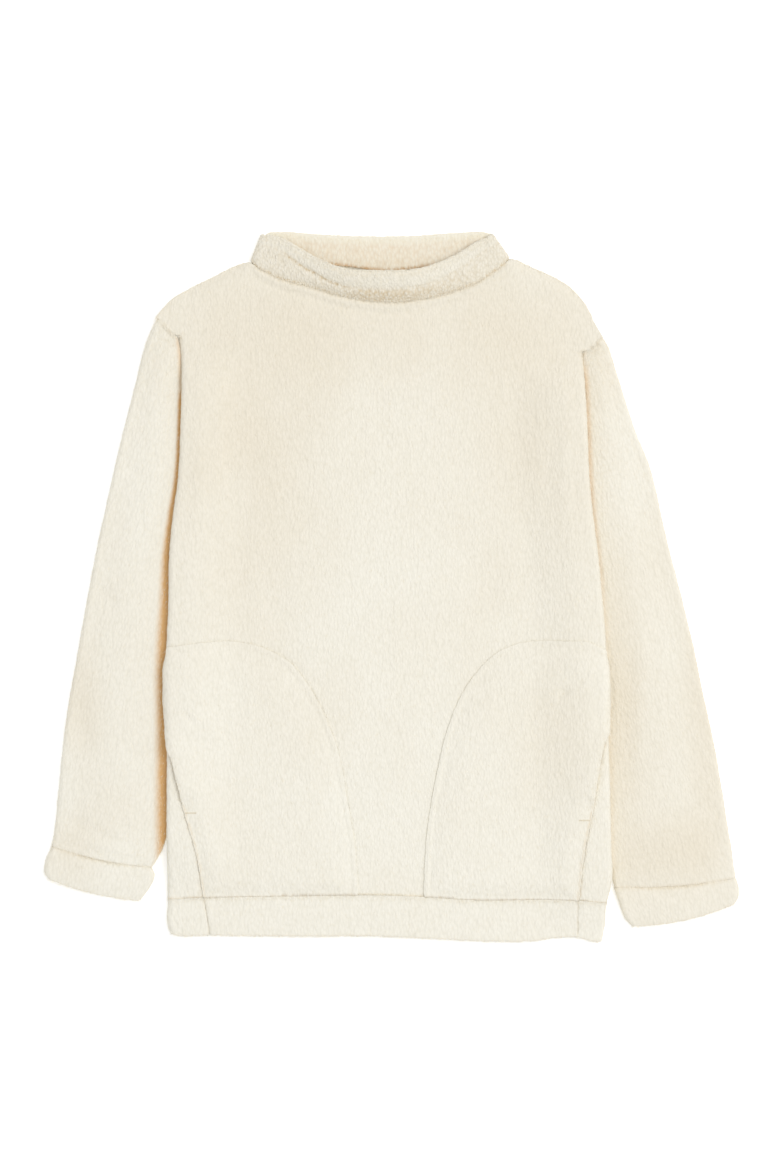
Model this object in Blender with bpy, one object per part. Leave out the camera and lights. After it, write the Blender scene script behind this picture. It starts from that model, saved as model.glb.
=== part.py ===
# Funnel-neck fleece top, laid flat with its front up.
# X runs to the right across the garment, Y from the hem towards the collar, Z up from the surface it lies on.
# Every piece is cut as a flat pattern and then laid: round the side folds, over the sleeves, onto its panel.
# Sizes and places in the tables are millimetres from the middle of the laid garment.
import math

import bmesh
import bpy
import numpy as np
from mathutils.geometry import delaunay_2d_cdt

MM = 0.001

# Cloth
WALL = 4.0            # fleece with its pile pressed down
COLLAR_WALL = 5.4     # the collar is doubled
SEAM = 0.3            # left between neighbouring pieces
ROLL = 3.5            # middle of the cloth round a side fold
STACK = WALL + 2 * ROLL          # front and back together
SLEEVE_LIFT = 9.5     # the body's edge lies on the sleeve's edge
LIFT_EDGE = 11.0      # the full lift reaches this far in from the edge
LIFT_FADE = 58.0      # and is gone this much further in
HIDDEN_SEAM = 8.2     # from the start of the fold round to the side seam behind it
ARMHOLE_TAPER = 14.0  # height over which the armhole turns into the side seam
SHOULDER_DIP = 2.4    # the front comes down to the back at the shoulder seam
SHOULDER_DEPTH = 11.0
SHOULDER_STEP = 9.0
BESIDE_NECK = 4.0     # the rounded shoulder edge starts this far from the collar
NO_FOLD = 400.0       # beyond the shoulders, where the cloth doesn't turn round
ARMHOLE_GAP = 0.5     # the body's armhole edge stands this far off the sleeve's
EDGE_BULGE = 1.2      # roundness of sewn and folded edges
HEM_BULGE = 1.4
COLLAR_BULGE = 2.0

# Body: height, left edge, right edge
BODY_EDGES = np.array((
    (-346, -213, 206),
    (-332, -219, 209),
    (-306, -219, 211),
    (-289, -219, 215),
    (-247, -219.5, 214.5),
    (-172, -219.5, 213),
    (-128, -219.5, 211),
    (-92, -220, 210),
    (-58, -219.5, 209.5),
    (-13, -217.5, 206),
    (29, -217, 201.5),
    (71, -213, 196.5),
    (104, -208.5, 193.5),
    (150, -206, 191.5),
    (200, -205, 189),
    (229, -206, 187.5),
    (244, -208, 187.5),
))

# Side seams, which come round the fold onto the front: height, left place, right place
SIDE_SEAMS = np.array((
    (-350, -175, 181.5),
    (-306, -182, 182),
    (-279, -186, 185),
    (-252, -191.5, 188.5),
    (-223, -200, 194.5),
    (-196, -206.5, 198.5),
    (-172, -212.5, 202.5),
    (-147, -218.8, 207.5),
    (-125, -226, 213),
    (-100, -234, 221),
))

# Hem band: across, seam height, bottom height
HEM = np.array((
    (-225, -305, -334),
    (-212, -304.5, -338),
    (-178, -303, -338.5),
    (-91, -301.5, -339.5),
    (-16, -301, -339.5),
    (34, -302.5, -341.5),
    (86, -305.5, -344),
    (138, -305, -344),
    (164, -305, -340.5),
    (181, -305.5, -340.5),
    (197, -307, -344.5),
    (215, -308.5, -345),
))

# Shoulders and neckline: across, height
LEFT_SHOULDER = np.array(((-228.5, 263), (-220, 273), (-211, 281.5), (-197, 289.5), (-173, 301.5),
                          (-156, 310), (-139, 316.5)))
RIGHT_SHOULDER = np.array(((117, 320), (138, 310), (158, 301), (175, 290), (188, 275), (196.5, 260),
                           (205.5, 244.5)))
FRONT_NECK = np.array(((-139, 316.5), (-111, 301.5), (-83, 294), (-53, 285), (-27, 280), (1, 278),
                       (29, 281), (57, 287.5), (85, 298), (105, 311), (117, 320)))
BACK_NECK = np.array(((-139, 316.5), (-90, 315), (-42, 312.5), (-8, 308), (37, 312.5), (80, 317),
                      (117, 320)))
LEFT_FOLD_END = 244.0    # height where the left side fold meets the armhole seam
RIGHT_FOLD_END = 229.0

# Where the body's sides lie raised on the sleeves: end at the armhole, full, full, end at the hem
LEFT_RAISED = (243, 196, -248, -308)
RIGHT_RAISED = (228, 181, -286, -342)

# Collar: across at its top edge, height of the front's top edge, height of the back's
COLLAR_TOP = np.array(((-129, 343, 343.5), (-107, 338, 344.5), (-83, 324, 343), (-53, 310, 341),
                       (-8, 306, 340), (29, 308.5, 341), (57, 318.5, 343), (85, 335, 344.5),
                       (101, 343, 344.5)))
COLLAR_SIDES = ((-139, -129), (117, 101))    # left and right: at the seam, at the top
COLLAR_RISE = 13.0       # the front's top edge stands above its seam
COLLAR_ROLL = 4.0
COLLAR_CORNER = 0.35     # the collar's side edge stands this far off the back's neckline
COLLAR_FULLNESS = 1.4    # above 1 the front stands up later from its sides
COLLAR_STANDS = (-0.35, 1.0)         # share of its height over which the front rises
COLLAR_LEAVES_SEAM = (-0.2, 0.3)
COLLAR_COLUMNS = 18
COLLAR_ROWS = 6
COLLAR_TURN_ROWS = 4

# Pockets: height, inner edge across. The top edge: across, height
LEFT_POCKET_SIDE = np.array(((-299, -33), (-255, -36), (-210, -43.5), (-160, -53), (-121, -68),
                             (-91, -85.5), (-75, -99)))
LEFT_POCKET_TOP = np.array(((-99, -75), (-112, -66.5), (-126, -60), (-142, -56), (-159, -54),
                            (-180, -55), (-197, -57), (-219, -60)))
RIGHT_POCKET_SIDE = np.array(((-299, 32), (-267, 33.5), (-228, 37), (-185, 44.5), (-148, 53),
                              (-113, 65.5), (-88, 80.5)))
RIGHT_POCKET_TOP = np.array(((80.5, -88), (89, -78), (98, -69), (107, -63), (118, -58), (138, -54),
                             (170, -54), (192, -55), (210, -62)))
POCKET_LOOSE = 1.6       # the pocket's mouth stands this much off the panel
MOUTH = (-219, -132)     # height of the mouth's lower and upper end
MOUTH_DEPTH = 30.0
MOUTH_FADE = 25.0
POCKET_STEP = 14.0
POCKET_CORNER = 4.0      # the mouth's first point below the pocket's top corner

# Sleeves: outer edge across and height, inner edge across and height, thickness of both sheets, and how far
# the line across hangs below a straight one
LEFT_SLEEVE = np.array((
    (-229.0, 262.5, -209.2, 243.2, 11.0, 0),
    (-240, 237, -205.8, 220, 10.2, 0),
    (-251, 195, -205.6, 190, 9.0, 0),
    (-264.5, 142.5, -198, 145, 9.0, 0),
    (-276, 92, -201, 96, 9.0, 0),
    (-290, 27.5, -209, 29, 9.0, 0),
    (-305.5, -58, -211.5, -59, 9.0, 0),
    (-317, -124, -211.5, -130, 9.0, 0),
    (-324.5, -190.5, -211.5, -200, 9.0, 1),
    (-329, -236, -220, -249, 9.0, 2),
    (-332.3, -253.2, -233, -273.7, 9.0, 3),
))
RIGHT_SLEEVE = np.array((
    (205.9, 244.0, 187.6, 228.6, 11.0, 0),
    (213, 231, 188.2, 212, 10.2, 0),
    (224, 197, 189.9, 180, 9.0, 0),
    (239, 151, 184, 140, 9.0, 0),
    (254, 113, 185.5, 100, 9.0, 0),
    (268.5, 49.5, 191, 45, 9.0, 0),
    (292, -43.5, 201, -48, 9.0, 0),
    (305.5, -108.5, 203.5, -113, 9.0, 0),
    (318, -168, 205, -172, 9.0, 1),
    (329, -235.5, 208, -242, 9.0, 2),
    (336.5, -284, 216.6, -293, 9.0, 3),
))
SLEEVE_CROWN = 2.2       # the upper sheet stands higher along the middle
CUFF_CROWN = 1.3
CROWN_STARTS = 0.2       # share of the length over which it rises to its full height

# Cuffs: the same columns
LEFT_CUFF = np.array((
    (-332.6, -253.8, -233.1, -274.3, 9.0, 3.0),
    (-337.5, -266, -230.8, -282.5, 9.5, 3.0),
    (-339, -278, -236, -294, 9.5, 3.0),
    (-335.5, -284.5, -244, -305.5, 9.0, 3.5),
))
RIGHT_CUFF = np.array((
    (336.8, -284.6, 216.8, -293.6, 9.0, 3.0),
    (339, -293, 221.5, -307, 9.5, 3.5),
    (338.8, -303, 227, -322, 9.5, 4.5),
    (335.5, -309, 233.5, -330.5, 9.0, 5.0),
))

# Soft troughs pressed into the front: upper end, lower end, half width, depth
FRONT_TROUGHS = (
    ((-152, 236), (-160, 70), 15, 1.9),
    ((160, 190), (153, 45), 14, 1.7),
)
TROUGH_ENDS = (0.3, 0.65)        # shares of its length between which a trough is at its deepest

# Spacing of the pattern's points
FRONT_STEP = 20.0
BACK_STEP = 34.0
SIDE_STEP = 18.0
TURNING_STEP = 6.0       # where the side seams come round the fold
TURNING = (-192, -112)
ROLL_STEPS = 6           # round a whole side fold
WRAP_STEP = 15.0         # of the back's cloth on the front
FLAT_CLEAR = 0.4         # points of the flat keep this share of their step from drawn lines
FOLD_CLEAR = 0.7         # and those round a fold this distance
HEM_CLEAR = 8.0
HEM_INSET = 4.0          # first points of the hem's flat past its folds
HEM_REACH = 6.0          # points this near the hem seam are a pocket's lower edge
SEAM_TRIES = 6           # a few rounds bring a seam's crossing to rest
UPPER_STEPS, LOWER_STEPS, TUBE_FOLD_STEPS = 7, 5, 4
SLEEVE_ROWS, CUFF_ROWS = 19, 6
NUDGE = (0.05, 0.05)     # apart on the pattern, for the direction that the cloth faces
COLLAR_NUDGE = (0.0002, 0.002)
MERGE = 0.001            # points nearer than this are one
AT_END = 0.99
SHARP = math.radians(50)

FLEECE = (0.896, 0.847, 0.723)
FLEECE_LIGHT = (0.93, 0.89, 0.80)
FLEECE_INSIDE = (0.84, 0.73, 0.58)
PILE_ROUGHNESS = 0.95


def through(places, values, at):
    """A smooth line through values at rising places, read at any place between them."""
    at = np.clip(at, places[0], places[-1])
    slopes = np.gradient(values, places)
    row = np.clip(np.searchsorted(places, at, side="right") - 1, 0, len(places) - 2)
    step = places[row + 1] - places[row]
    share = (at - places[row]) / step
    start, end = values[row], values[row + 1]
    bend = share * share * (3 - 2 * share)
    leave = share * (1 - share) ** 2 * step * slopes[row]
    arrive = share * share * (share - 1) * step * slopes[row + 1]
    return start + (end - start) * bend + leave + arrive


def ease(at, low, high):
    """0 at low, 1 at high, and smooth between."""
    share = np.clip((np.asarray(at, float) - low) / (high - low), 0, 1)
    return share * share * (3 - 2 * share)


def spread(start, end, step):
    """Places from start to end, both kept, about step apart."""
    return np.linspace(start, end, max(1, round(abs(end - start) / step)) + 1)


def fold_start(up, side):
    """Where the flat cloth ends and begins to turn round the side, left with side -1 and right with 1."""
    edge = through(BODY_EDGES[:, 0], BODY_EDGES[:, 2 if side > 0 else 1], up)
    fold_end = RIGHT_FOLD_END if side > 0 else LEFT_FOLD_END
    return np.where(up > fold_end + SEAM, side * NO_FOLD, edge - side * (WALL / 2 + ROLL))


def raised(up, ends):
    top, full_top, full_low, low = ends
    return ease(up, top, full_top) * ease(up, low, full_low)


def lift_at(across, up):
    """Height of the body's underside, which lies on the sleeves along its sides."""
    reach = LIFT_EDGE + LIFT_FADE
    from_left = 1 - ease(across - fold_start(up, -1), LIFT_EDGE, reach)
    from_right = 1 - ease(fold_start(up, 1) - across, LIFT_EDGE, reach)
    return SLEEVE_LIFT * (from_left * raised(up, LEFT_RAISED) + from_right * raised(up, RIGHT_RAISED))


def shoulder_height(across):
    left = through(LEFT_SHOULDER[:, 0], LEFT_SHOULDER[:, 1], across)
    right = through(RIGHT_SHOULDER[:, 0], RIGHT_SHOULDER[:, 1], across)
    return np.where(np.asarray(across) < 0, left, right)


def hem_height(across, column):
    """Height of the hem seam with column 1, and of the hem's bottom with column 2."""
    return through(HEM[:, 0], HEM[:, column], across)


def trough_at(across, up):
    """Depth of the soft troughs in the front."""
    depth = np.zeros(np.broadcast(across, up).shape)
    for (x1, y1), (x2, y2), half, deepest in FRONT_TROUGHS:
        along = (y1 - up) / (y1 - y2)
        middle = x1 + (x2 - x1) * along
        across_trough = np.clip(1 - ((across - middle) / half) ** 2, 0, 1) ** 2
        ends = ease(along, 0, TROUGH_ENDS[0]) * (1 - ease(along, TROUGH_ENDS[1], 1))
        depth += deepest * across_trough * ends
    return depth


def lay_body(across, up, sheet):
    """Lays a point of the flat pattern, of the front with sheet 1 or the back with sheet -1."""
    across, up = np.broadcast_arrays(np.asarray(across, float), np.asarray(up, float))
    left, right = fold_start(up, -1), fold_start(up, 1)
    side = np.where(across < left, -1, 1)
    over = np.maximum(np.maximum(left - across, across - right), 0)
    turn = np.clip(over / ROLL, 0, math.pi)
    outward = ROLL * np.sin(turn) - np.maximum(over - math.pi * ROLL, 0)
    x = np.where(over > 0, np.where(side < 0, left, right) + side * outward, across)
    z = lift_at(x, up) + STACK / 2 + sheet * ROLL * np.cos(turn)
    if sheet > 0:
        near_shoulder = 1 - ease(shoulder_height(across) - up, 0, SHOULDER_DEPTH)
        beside_neck = (ease(COLLAR_SIDES[0][0] - across, 0, SHOULDER_DEPTH)
                       + ease(across - COLLAR_SIDES[1][0], 0, SHOULDER_DEPTH))
        z = z - SHOULDER_DIP * near_shoulder * beside_neck - trough_at(across, up)
    return np.stack((x, up, z), -1)


def other_sheet(across, up, side):
    """The same place round a side fold, on the other sheet's pattern."""
    return 2 * fold_start(up, side) + side * math.pi * ROLL - across


def seam_place(up, side):
    """The side seam on the front's pattern: drawn on the front below, hidden behind the fold above."""
    drawn = through(SIDE_SEAMS[:, 0], SIDE_SEAMS[:, 2 if side > 0 else 1], up)
    fold_end = RIGHT_FOLD_END if side > 0 else LEFT_FOLD_END
    to_edge = ease(up, fold_end - ARMHOLE_TAPER, fold_end)
    hidden = fold_start(up, side) + side * (HIDDEN_SEAM + (math.pi / 2 * ROLL - HIDDEN_SEAM) * to_edge)
    return side * np.minimum(side * drawn, side * hidden)


def seam_edge(up, side, sheet):
    """A panel's own edge along the side seam, on its own pattern."""
    seam = seam_place(up, side)
    fold_end = RIGHT_FOLD_END if side > 0 else LEFT_FOLD_END
    apart = SEAM / 2 + (ARMHOLE_GAP - SEAM) / 2 * ease(up, fold_end - ARMHOLE_TAPER, fold_end)
    if sheet > 0:
        return float(seam - side * apart)
    return float(other_sheet(seam + side * apart, up, side))


def seam_heights(side):
    """Heights of the points along a side seam, closer where it comes round the fold and at the armhole."""
    fold_end = RIGHT_FOLD_END if side > 0 else LEFT_FOLD_END
    low = seam_corner(side, 1)[1] + SEAM / 2
    heights = list(spread(low, TURNING[0], SIDE_STEP))
    heights += list(spread(TURNING[0], TURNING[1], TURNING_STEP))[1:]
    heights += list(spread(TURNING[1], fold_end - ARMHOLE_TAPER, SIDE_STEP))[1:]
    heights += list(spread(fold_end - ARMHOLE_TAPER, fold_end, ARMHOLE_TAPER / 4))[1:]
    return heights


def seam_corner(side, column):
    """Where a side seam meets the hem seam or the hem's bottom."""
    up = hem_height(side * COLLAR_SIDES[1][0], column)
    for _ in range(SEAM_TRIES):
        up = hem_height(seam_place(up, side), column)
    return float(seam_place(up, side)), float(up)


def round_fold(side, over, column):
    """The point of a hem line that lies over past the start of a side fold."""
    up = hem_height(side * COLLAR_SIDES[1][0], column)
    for _ in range(SEAM_TRIES):
        start = fold_start(up, side)
        outward = ROLL * math.sin(min(over / ROLL, math.pi)) - max(over - math.pi * ROLL, 0)
        up = hem_height(start + side * outward, column)
    return float(start + side * over), float(up)


def fold_turns():
    """Distances past a fold's start, round to the other sheet."""
    return np.arange(ROLL_STEPS + 1) * math.pi * ROLL / ROLL_STEPS


def hem_line(sheet, column):
    """A hem line across a sheet from its left side seam to its right one."""
    ends = {}
    for side in (-1, 1):
        corner, up = seam_corner(side, column)
        ends[side] = seam_edge(up, side, sheet)
    if sheet > 0:
        inner = (LEFT_POCKET_SIDE[0, 1], RIGHT_POCKET_SIDE[0, 1])
        places = (ends[-1], *inner, ends[1])
        parts = [spread(a, b, FRONT_STEP) for a, b in zip(places, places[1:])]
        across = sorted({a for part in parts for a in part})
        return [(float(a), float(hem_height(a, column))) for a in across]
    points = {}
    for side in (-1, 1):
        start = round_fold(side, 0, column)
        last = round_fold(side, abs(ends[side] - fold_start(start[1], side)), column)
        wrap = spread(math.pi * ROLL, side * (ends[side] - fold_start(last[1], side)), WRAP_STEP)
        points[side] = [round_fold(side, over, column) for over in (*fold_turns(), *wrap[1:])]
    flat = spread(points[-1][0][0], points[1][0][0], BACK_STEP)[1:-1]
    middle = [(float(a), float(hem_height(a, column))) for a in flat]
    return points[-1][::-1] + middle + points[1]


def collar_column(share, edge):
    """Place across of a column of the collar's flat, at its seam with edge 0 or its top with edge 1."""
    inset = COLLAR_WALL / 2 + COLLAR_ROLL
    left, right = COLLAR_SIDES[0][edge] + inset, COLLAR_SIDES[1][edge] - inset
    return left + np.clip(share, 0, 1) * (right - left)


def neck_height(across, sheet):
    table = FRONT_NECK if sheet > 0 else BACK_NECK
    return through(table[:, 0], table[:, 1], across)


def lay_collar(share, rise, sheet):
    """share runs across the collar's flat, past 0 and 1 round its sides, and rise from seam to top."""
    share, rise = np.broadcast_arrays(np.asarray(share, float), np.asarray(rise, float))
    flat = np.clip(share, 0, 1)
    low, top = collar_column(share, 0), collar_column(share, 1)
    width = COLLAR_SIDES[1][0] - COLLAR_SIDES[0][0]
    turn = np.maximum(np.maximum(-share, share - 1), 0) * width / COLLAR_ROLL
    outward = COLLAR_ROLL * np.sin(turn) * np.where(share < 0, -1, 1)
    to_side = np.sin(turn)
    own_seam = neck_height(low, sheet) + SEAM / 2
    shared_seam = neck_height(low + outward, -1) + COLLAR_CORNER
    seam = own_seam + (shared_seam - own_seam) * to_side
    own_edge = through(COLLAR_TOP[:, 0], COLLAR_TOP[:, 1 if sheet > 0 else 2], top)
    shared_edge = through(COLLAR_TOP[:, 0], COLLAR_TOP[:, 2], top)
    edge = own_edge + (shared_edge - own_edge) * to_side
    x = low + (top - low) * rise + outward
    y = seam + (edge - seam) * rise
    z = COLLAR_WALL / 2 + COLLAR_ROLL + sheet * COLLAR_ROLL * np.cos(turn)
    if sheet > 0:
        stands = ease(rise, *COLLAR_STANDS) * ease(rise, *COLLAR_LEAVES_SEAM)
        z = z + COLLAR_RISE * np.sin(math.pi * flat) ** COLLAR_FULLNESS * stands
    return np.stack((x, y, z), -1)


def lay_tube(sections, crown, turn, along):
    """A flattened tube between the outer and inner edges of its sections, and its outward direction.

    turn 0 to 1 crosses the upper sheet, 1 to 2 the inner fold, 2 to 3 the lower sheet, 3 to 4 the outer fold.
    """
    places = np.linspace(0, 1, len(sections))
    columns = [through(places, sections[:, k], along) for k in range(6)]
    outer, inner = np.stack(columns[:2], -1), np.stack(columns[2:4], -1)
    stack, bow = columns[4:]
    roll = (stack - WALL) / 2
    line = inner - outer
    width = np.linalg.norm(line, axis=-1)
    line = line / width[..., None]
    turn = np.mod(turn, 4)
    cases = (turn < 1, turn < 2, turn < 3)
    share = np.select(cases, (turn, 1.0, 3 - turn), 0.0)
    angle = np.select(cases, (0.0, (turn - 1) * math.pi, math.pi), (turn - 2) * math.pi)
    from_outer = WALL / 2 + roll + share * (width - WALL - 2 * roll) + roll * np.sin(angle)
    hang = bow * (1 - (2 * from_outer / width - 1) ** 2)
    crowned = (turn < 1) * ease(along, 0, CROWN_STARTS)
    arch = crown * np.sin(math.pi * share) ** 2 * crowned
    x = outer[..., 0] + line[..., 0] * from_outer
    y = outer[..., 1] + line[..., 1] * from_outer - hang
    z = stack / 2 + roll * np.cos(angle) + arch
    slope = crown * math.pi * np.sin(2 * math.pi * share) * crowned / width
    level = np.sin(angle) - slope * np.cos(angle)
    normal = np.stack((line[..., 0] * level, line[..., 1] * level, np.cos(angle)), -1)
    return np.stack((x, y, z), -1), normal / np.linalg.norm(normal, axis=-1)[..., None]


def outward(lay, pattern, nudge, facing):
    """The middle of the cloth at each point of the pattern, and its outward direction."""
    a, b = pattern[:, 0], pattern[:, 1]
    along_a = lay(a + nudge[0], b) - lay(a - nudge[0], b)
    along_b = lay(a, b + nudge[1]) - lay(a, b - nudge[1])
    normal = facing * np.cross(along_a, along_b)
    return lay(a, b), normal / np.linalg.norm(normal, axis=1)[:, None]


def lay_panel(pattern, sheet):
    return outward(lambda a, b: lay_body(a, b, sheet), pattern, NUDGE, sheet)


def distance_to(line, points):
    """The least distance of each point from a closed or open line, given as its edges' starts and ends."""
    start, end = line
    edge = end - start
    share = ((points[:, None] - start) * edge).sum(-1) / (edge * edge).sum(-1)
    foot = start + np.clip(share, 0, 1)[..., None] * edge
    return np.linalg.norm(points[:, None] - foot, axis=-1).min(1)


def within(outline, points):
    """Which points lie in the outline."""
    start, end = outline, np.roll(outline, -1, 0)
    x, y = points[:, :1], points[:, 1:2]
    crosses = (start[:, 1] > y) != (end[:, 1] > y)
    rise = np.where(end[:, 1] == start[:, 1], 1, end[:, 1] - start[:, 1])
    at = start[:, 0] + (y - start[:, 1]) / rise * (end[:, 0] - start[:, 0])
    return (crosses & (x < at)).sum(1) % 2 == 1


def cut(outline, fillers, lines=()):
    """Triangles over a flat pattern, with lines drawn on it and filler points kept clear of them."""
    outline = np.array(outline, float)
    drawn = [np.array(line, float) for line in lines]
    starts = np.concatenate([outline] + [line[:-1] for line in drawn])
    ends = np.concatenate([np.roll(outline, -1, 0)] + [line[1:] for line in drawn])
    points = [outline] + drawn
    edges = []
    first = len(outline)
    for line in drawn:
        edges += [(first + k, first + k + 1) for k in range(len(line) - 1)]
        first += len(line)
    for filler, clear in fillers:
        filler = np.array(filler, float)
        points.append(filler[within(outline, filler) & (distance_to((starts, ends), filler) > clear)])
    ring = list(range(len(outline)))
    verts, _, faces, _, _, _ = delaunay_2d_cdt(np.concatenate(points).tolist(), edges, [ring], 1, MERGE)
    verts = np.array([tuple(v) for v in verts])
    return verts, [tuple(f) if turns_left(verts[list(f)]) else tuple(f[::-1]) for f in faces]


def turns_left(corners):
    x, y = corners[:, 0], corners[:, 1]
    return np.dot(x, np.roll(y, -1)) > np.dot(y, np.roll(x, -1))


def grid(first, second, closed=False):
    """A rectangular pattern, or with closed a ring along its first direction."""
    verts = np.array([(a, b) for b in second for a in first])
    width = len(first)
    faces = []
    for row in range(len(second) - 1):
        for k in range(width if closed else width - 1):
            a = row * width + k
            b = row * width + (k + 1) % width
            faces.append((a, b, b + width, a + width))
    return verts, faces


def border(faces):
    """The edges that belong to one face, in that face's order."""
    once = {}
    for face in faces:
        for edge in zip(face, face[1:] + face[:1]):
            if edge[::-1] in once:
                del once[edge[::-1]]
            else:
                once[edge] = True
    return list(once)


def sew(name, faces, middle, normal, wall, colour, facing=1, bulge=None):
    """Makes the closed wall of one piece of cloth. bulge rounds its cut edge out at each point."""
    if facing < 0:
        faces = [face[::-1] for face in faces]
    edges = border(faces)
    on_edge = sorted({k for edge in edges for k in edge})
    outer, inner = middle + normal * wall / 2, middle - normal * wall / 2
    mesh = bpy.data.meshes.new(name)
    bm = bmesh.new()
    above = {k: bm.verts.new(outer[k] * MM) for k in range(len(middle))}
    below = {k: bm.verts.new(inner[k] * MM) for k in range(len(middle))}
    if bulge is not None:
        out = np.zeros(middle.shape)
        for a, b in edges:
            side = np.cross(middle[b] - middle[a], normal[a] + normal[b])
            out[[a, b]] += side / np.linalg.norm(side)
        length = np.maximum(np.linalg.norm(out, axis=1), MERGE)[:, None]
        rim = middle + out / length * bulge[:, None]
        between = {k: bm.verts.new(rim[k] * MM) for k in on_edge}
    for face in faces:
        bm.faces.new([above[k] for k in face])
        bm.faces.new([below[k] for k in reversed(face)])
    for a, b in edges:
        if bulge is None:
            bm.faces.new((above[b], above[a], below[a], below[b]))
        else:
            bm.faces.new((above[b], above[a], between[a], between[b]))
            bm.faces.new((between[b], between[a], below[a], below[b]))
    bmesh.ops.delete(bm, geom=[v for v in bm.verts if not v.link_faces], context="VERTS")
    bmesh.ops.recalc_face_normals(bm, faces=bm.faces)
    bmesh.ops.triangulate(bm, faces=bm.faces)
    bm.to_mesh(mesh)
    bm.free()
    mesh.shade_smooth()
    mesh.set_sharp_from_angle(angle=SHARP)
    mesh.materials.append(cloth_colour(name, colour))
    garment.objects.link(bpy.data.objects.new(name, mesh))


def cloth_colour(name, colour):
    material = bpy.data.materials.new(name)
    material.use_nodes = True
    shader = material.node_tree.nodes["Principled BSDF"]
    shader.inputs["Base Color"].default_value = (*colour, 1)
    shader.inputs["Roughness"].default_value = PILE_ROUGHNESS
    shader.inputs["Metallic"].default_value = 0
    return material


def shoulder_line(table, start, end):
    """Points of a shoulder between two places across, in that order."""
    across = spread(start, end, SHOULDER_STEP)
    return [(float(a), float(through(table[:, 0], table[:, 1], a))) for a in across]


def body_outline(sheet):
    """The flat pattern of the front or the back, anticlockwise from the left end of its hem seam."""
    bottom = [(a, up + SEAM / 2) for a, up in hem_line(sheet, 1)]
    sides = {side: [(seam_edge(up, side, sheet), up) for up in seam_heights(side)] for side in (-1, 1)}
    columns = collar_column(np.linspace(1, 0, COLLAR_COLUMNS + 1), 0)
    neck = [(float(a), float(neck_height(a, sheet)) - SEAM / 2) for a in columns]
    right = shoulder_line(RIGHT_SHOULDER, RIGHT_SHOULDER[-1, 0] - ARMHOLE_GAP, RIGHT_SHOULDER[0, 0])
    left = shoulder_line(LEFT_SHOULDER, LEFT_SHOULDER[-1, 0], LEFT_SHOULDER[0, 0] + ARMHOLE_GAP)
    armholes = []
    for side, shoulder_end in ((1, right[0]), (-1, left[-1])):
        low = sides[side][-1]
        armholes.append(((low[0] + shoulder_end[0]) / 2 - side * ARMHOLE_GAP,
                         (low[1] + shoulder_end[1]) / 2 + ARMHOLE_GAP))
    return (bottom[:-1] + sides[1] + armholes[:1] + right + neck + left + armholes[1:]
            + sides[-1][:0:-1])


def body_fillers(sheet):
    """Rows of points over a panel's flat, and lines of points round its side folds."""
    step = FRONT_STEP if sheet > 0 else BACK_STEP
    flat, folded = [], []
    for up in spread(HEM[:, 1].min(), FRONT_NECK[:, 1].max(), step):
        left, right = fold_start(up, -1) + step / 2, fold_start(up, 1) - step / 2
        flat += [(a, up) for a in spread(left, right, step)]
    for side in (-1, 1):
        for up in seam_heights(side):
            start = fold_start(up, side)
            folded += [(start + side * over, up) for over in fold_turns()]
            if sheet < 0:
                reach = side * (seam_edge(up, side, sheet) - start)
                wrap = spread(math.pi * ROLL, max(reach, math.pi * ROLL + 1), WRAP_STEP)[1:-1]
                folded += [(start + side * over, up) for over in wrap]
    return [(flat, step * FLAT_CLEAR), (folded, FOLD_CLEAR)]


def pocket_lines(side_table, top_table, side):
    """A pocket's free edge from the hem round its top to the side fold, and on down to the side seam."""
    low = float(hem_height(side_table[0, 1], 1)) + SEAM / 2
    inner = [(float(through(side_table[:, 0], side_table[:, 1], up)), float(up))
             for up in spread(low, side_table[-1, 0], POCKET_STEP)]
    inner[0] = (float(side_table[0, 1]), low)
    top = [(float(a), float(up)) for a, up in top_table[1:-1]]
    top_up = top_table[-1, 1]
    round_side = [(float(fold_start(top_up, side) + side * over), top_up)
                  for over in fold_turns() if over < math.pi / 2 * ROLL + MERGE]
    edge = []
    for up in reversed(seam_heights(side)):
        if up < top_up - POCKET_CORNER:
            at_side = fold_start(up, side) + side * math.pi / 2 * ROLL
            own = seam_edge(up, side, 1)
            edge.append((float(side * min(side * own, side * at_side)), up))
            if side * own <= side * at_side:
                break
    return inner + top + round_side + edge


def make_body():
    outline = body_outline(1)
    pockets = {
        "pocket_left": pocket_lines(LEFT_POCKET_SIDE, LEFT_POCKET_TOP, -1),
        "pocket_right": pocket_lines(RIGHT_POCKET_SIDE, RIGHT_POCKET_TOP, 1),
    }
    pattern, faces = cut(outline, body_fillers(1), pockets.values())
    middle, normal = lay_panel(pattern, 1)
    sew("front_panel", faces, middle, normal, WALL, FLEECE, bulge=shoulder_bulge(pattern))
    for name, line in pockets.items():
        make_pocket(name, line, pattern, faces, middle, normal)
    pattern, faces = cut(body_outline(-1), body_fillers(-1))
    middle, normal = lay_panel(pattern, -1)
    sew("back_panel", faces, middle, normal, WALL, FLEECE, facing=-1, bulge=shoulder_bulge(pattern))


def shoulder_bulge(pattern):
    across, up = pattern[:, 0], pattern[:, 1]
    beside_neck = (across < COLLAR_SIDES[0][0] - BESIDE_NECK) | (across > COLLAR_SIDES[1][0] + BESIDE_NECK)
    inside_ends = (across > LEFT_SHOULDER[1, 0]) & (across < RIGHT_SHOULDER[-2, 0])
    return EDGE_BULGE * (beside_neck & inside_ends & (np.abs(shoulder_height(across) - up) < SEAM))


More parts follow.
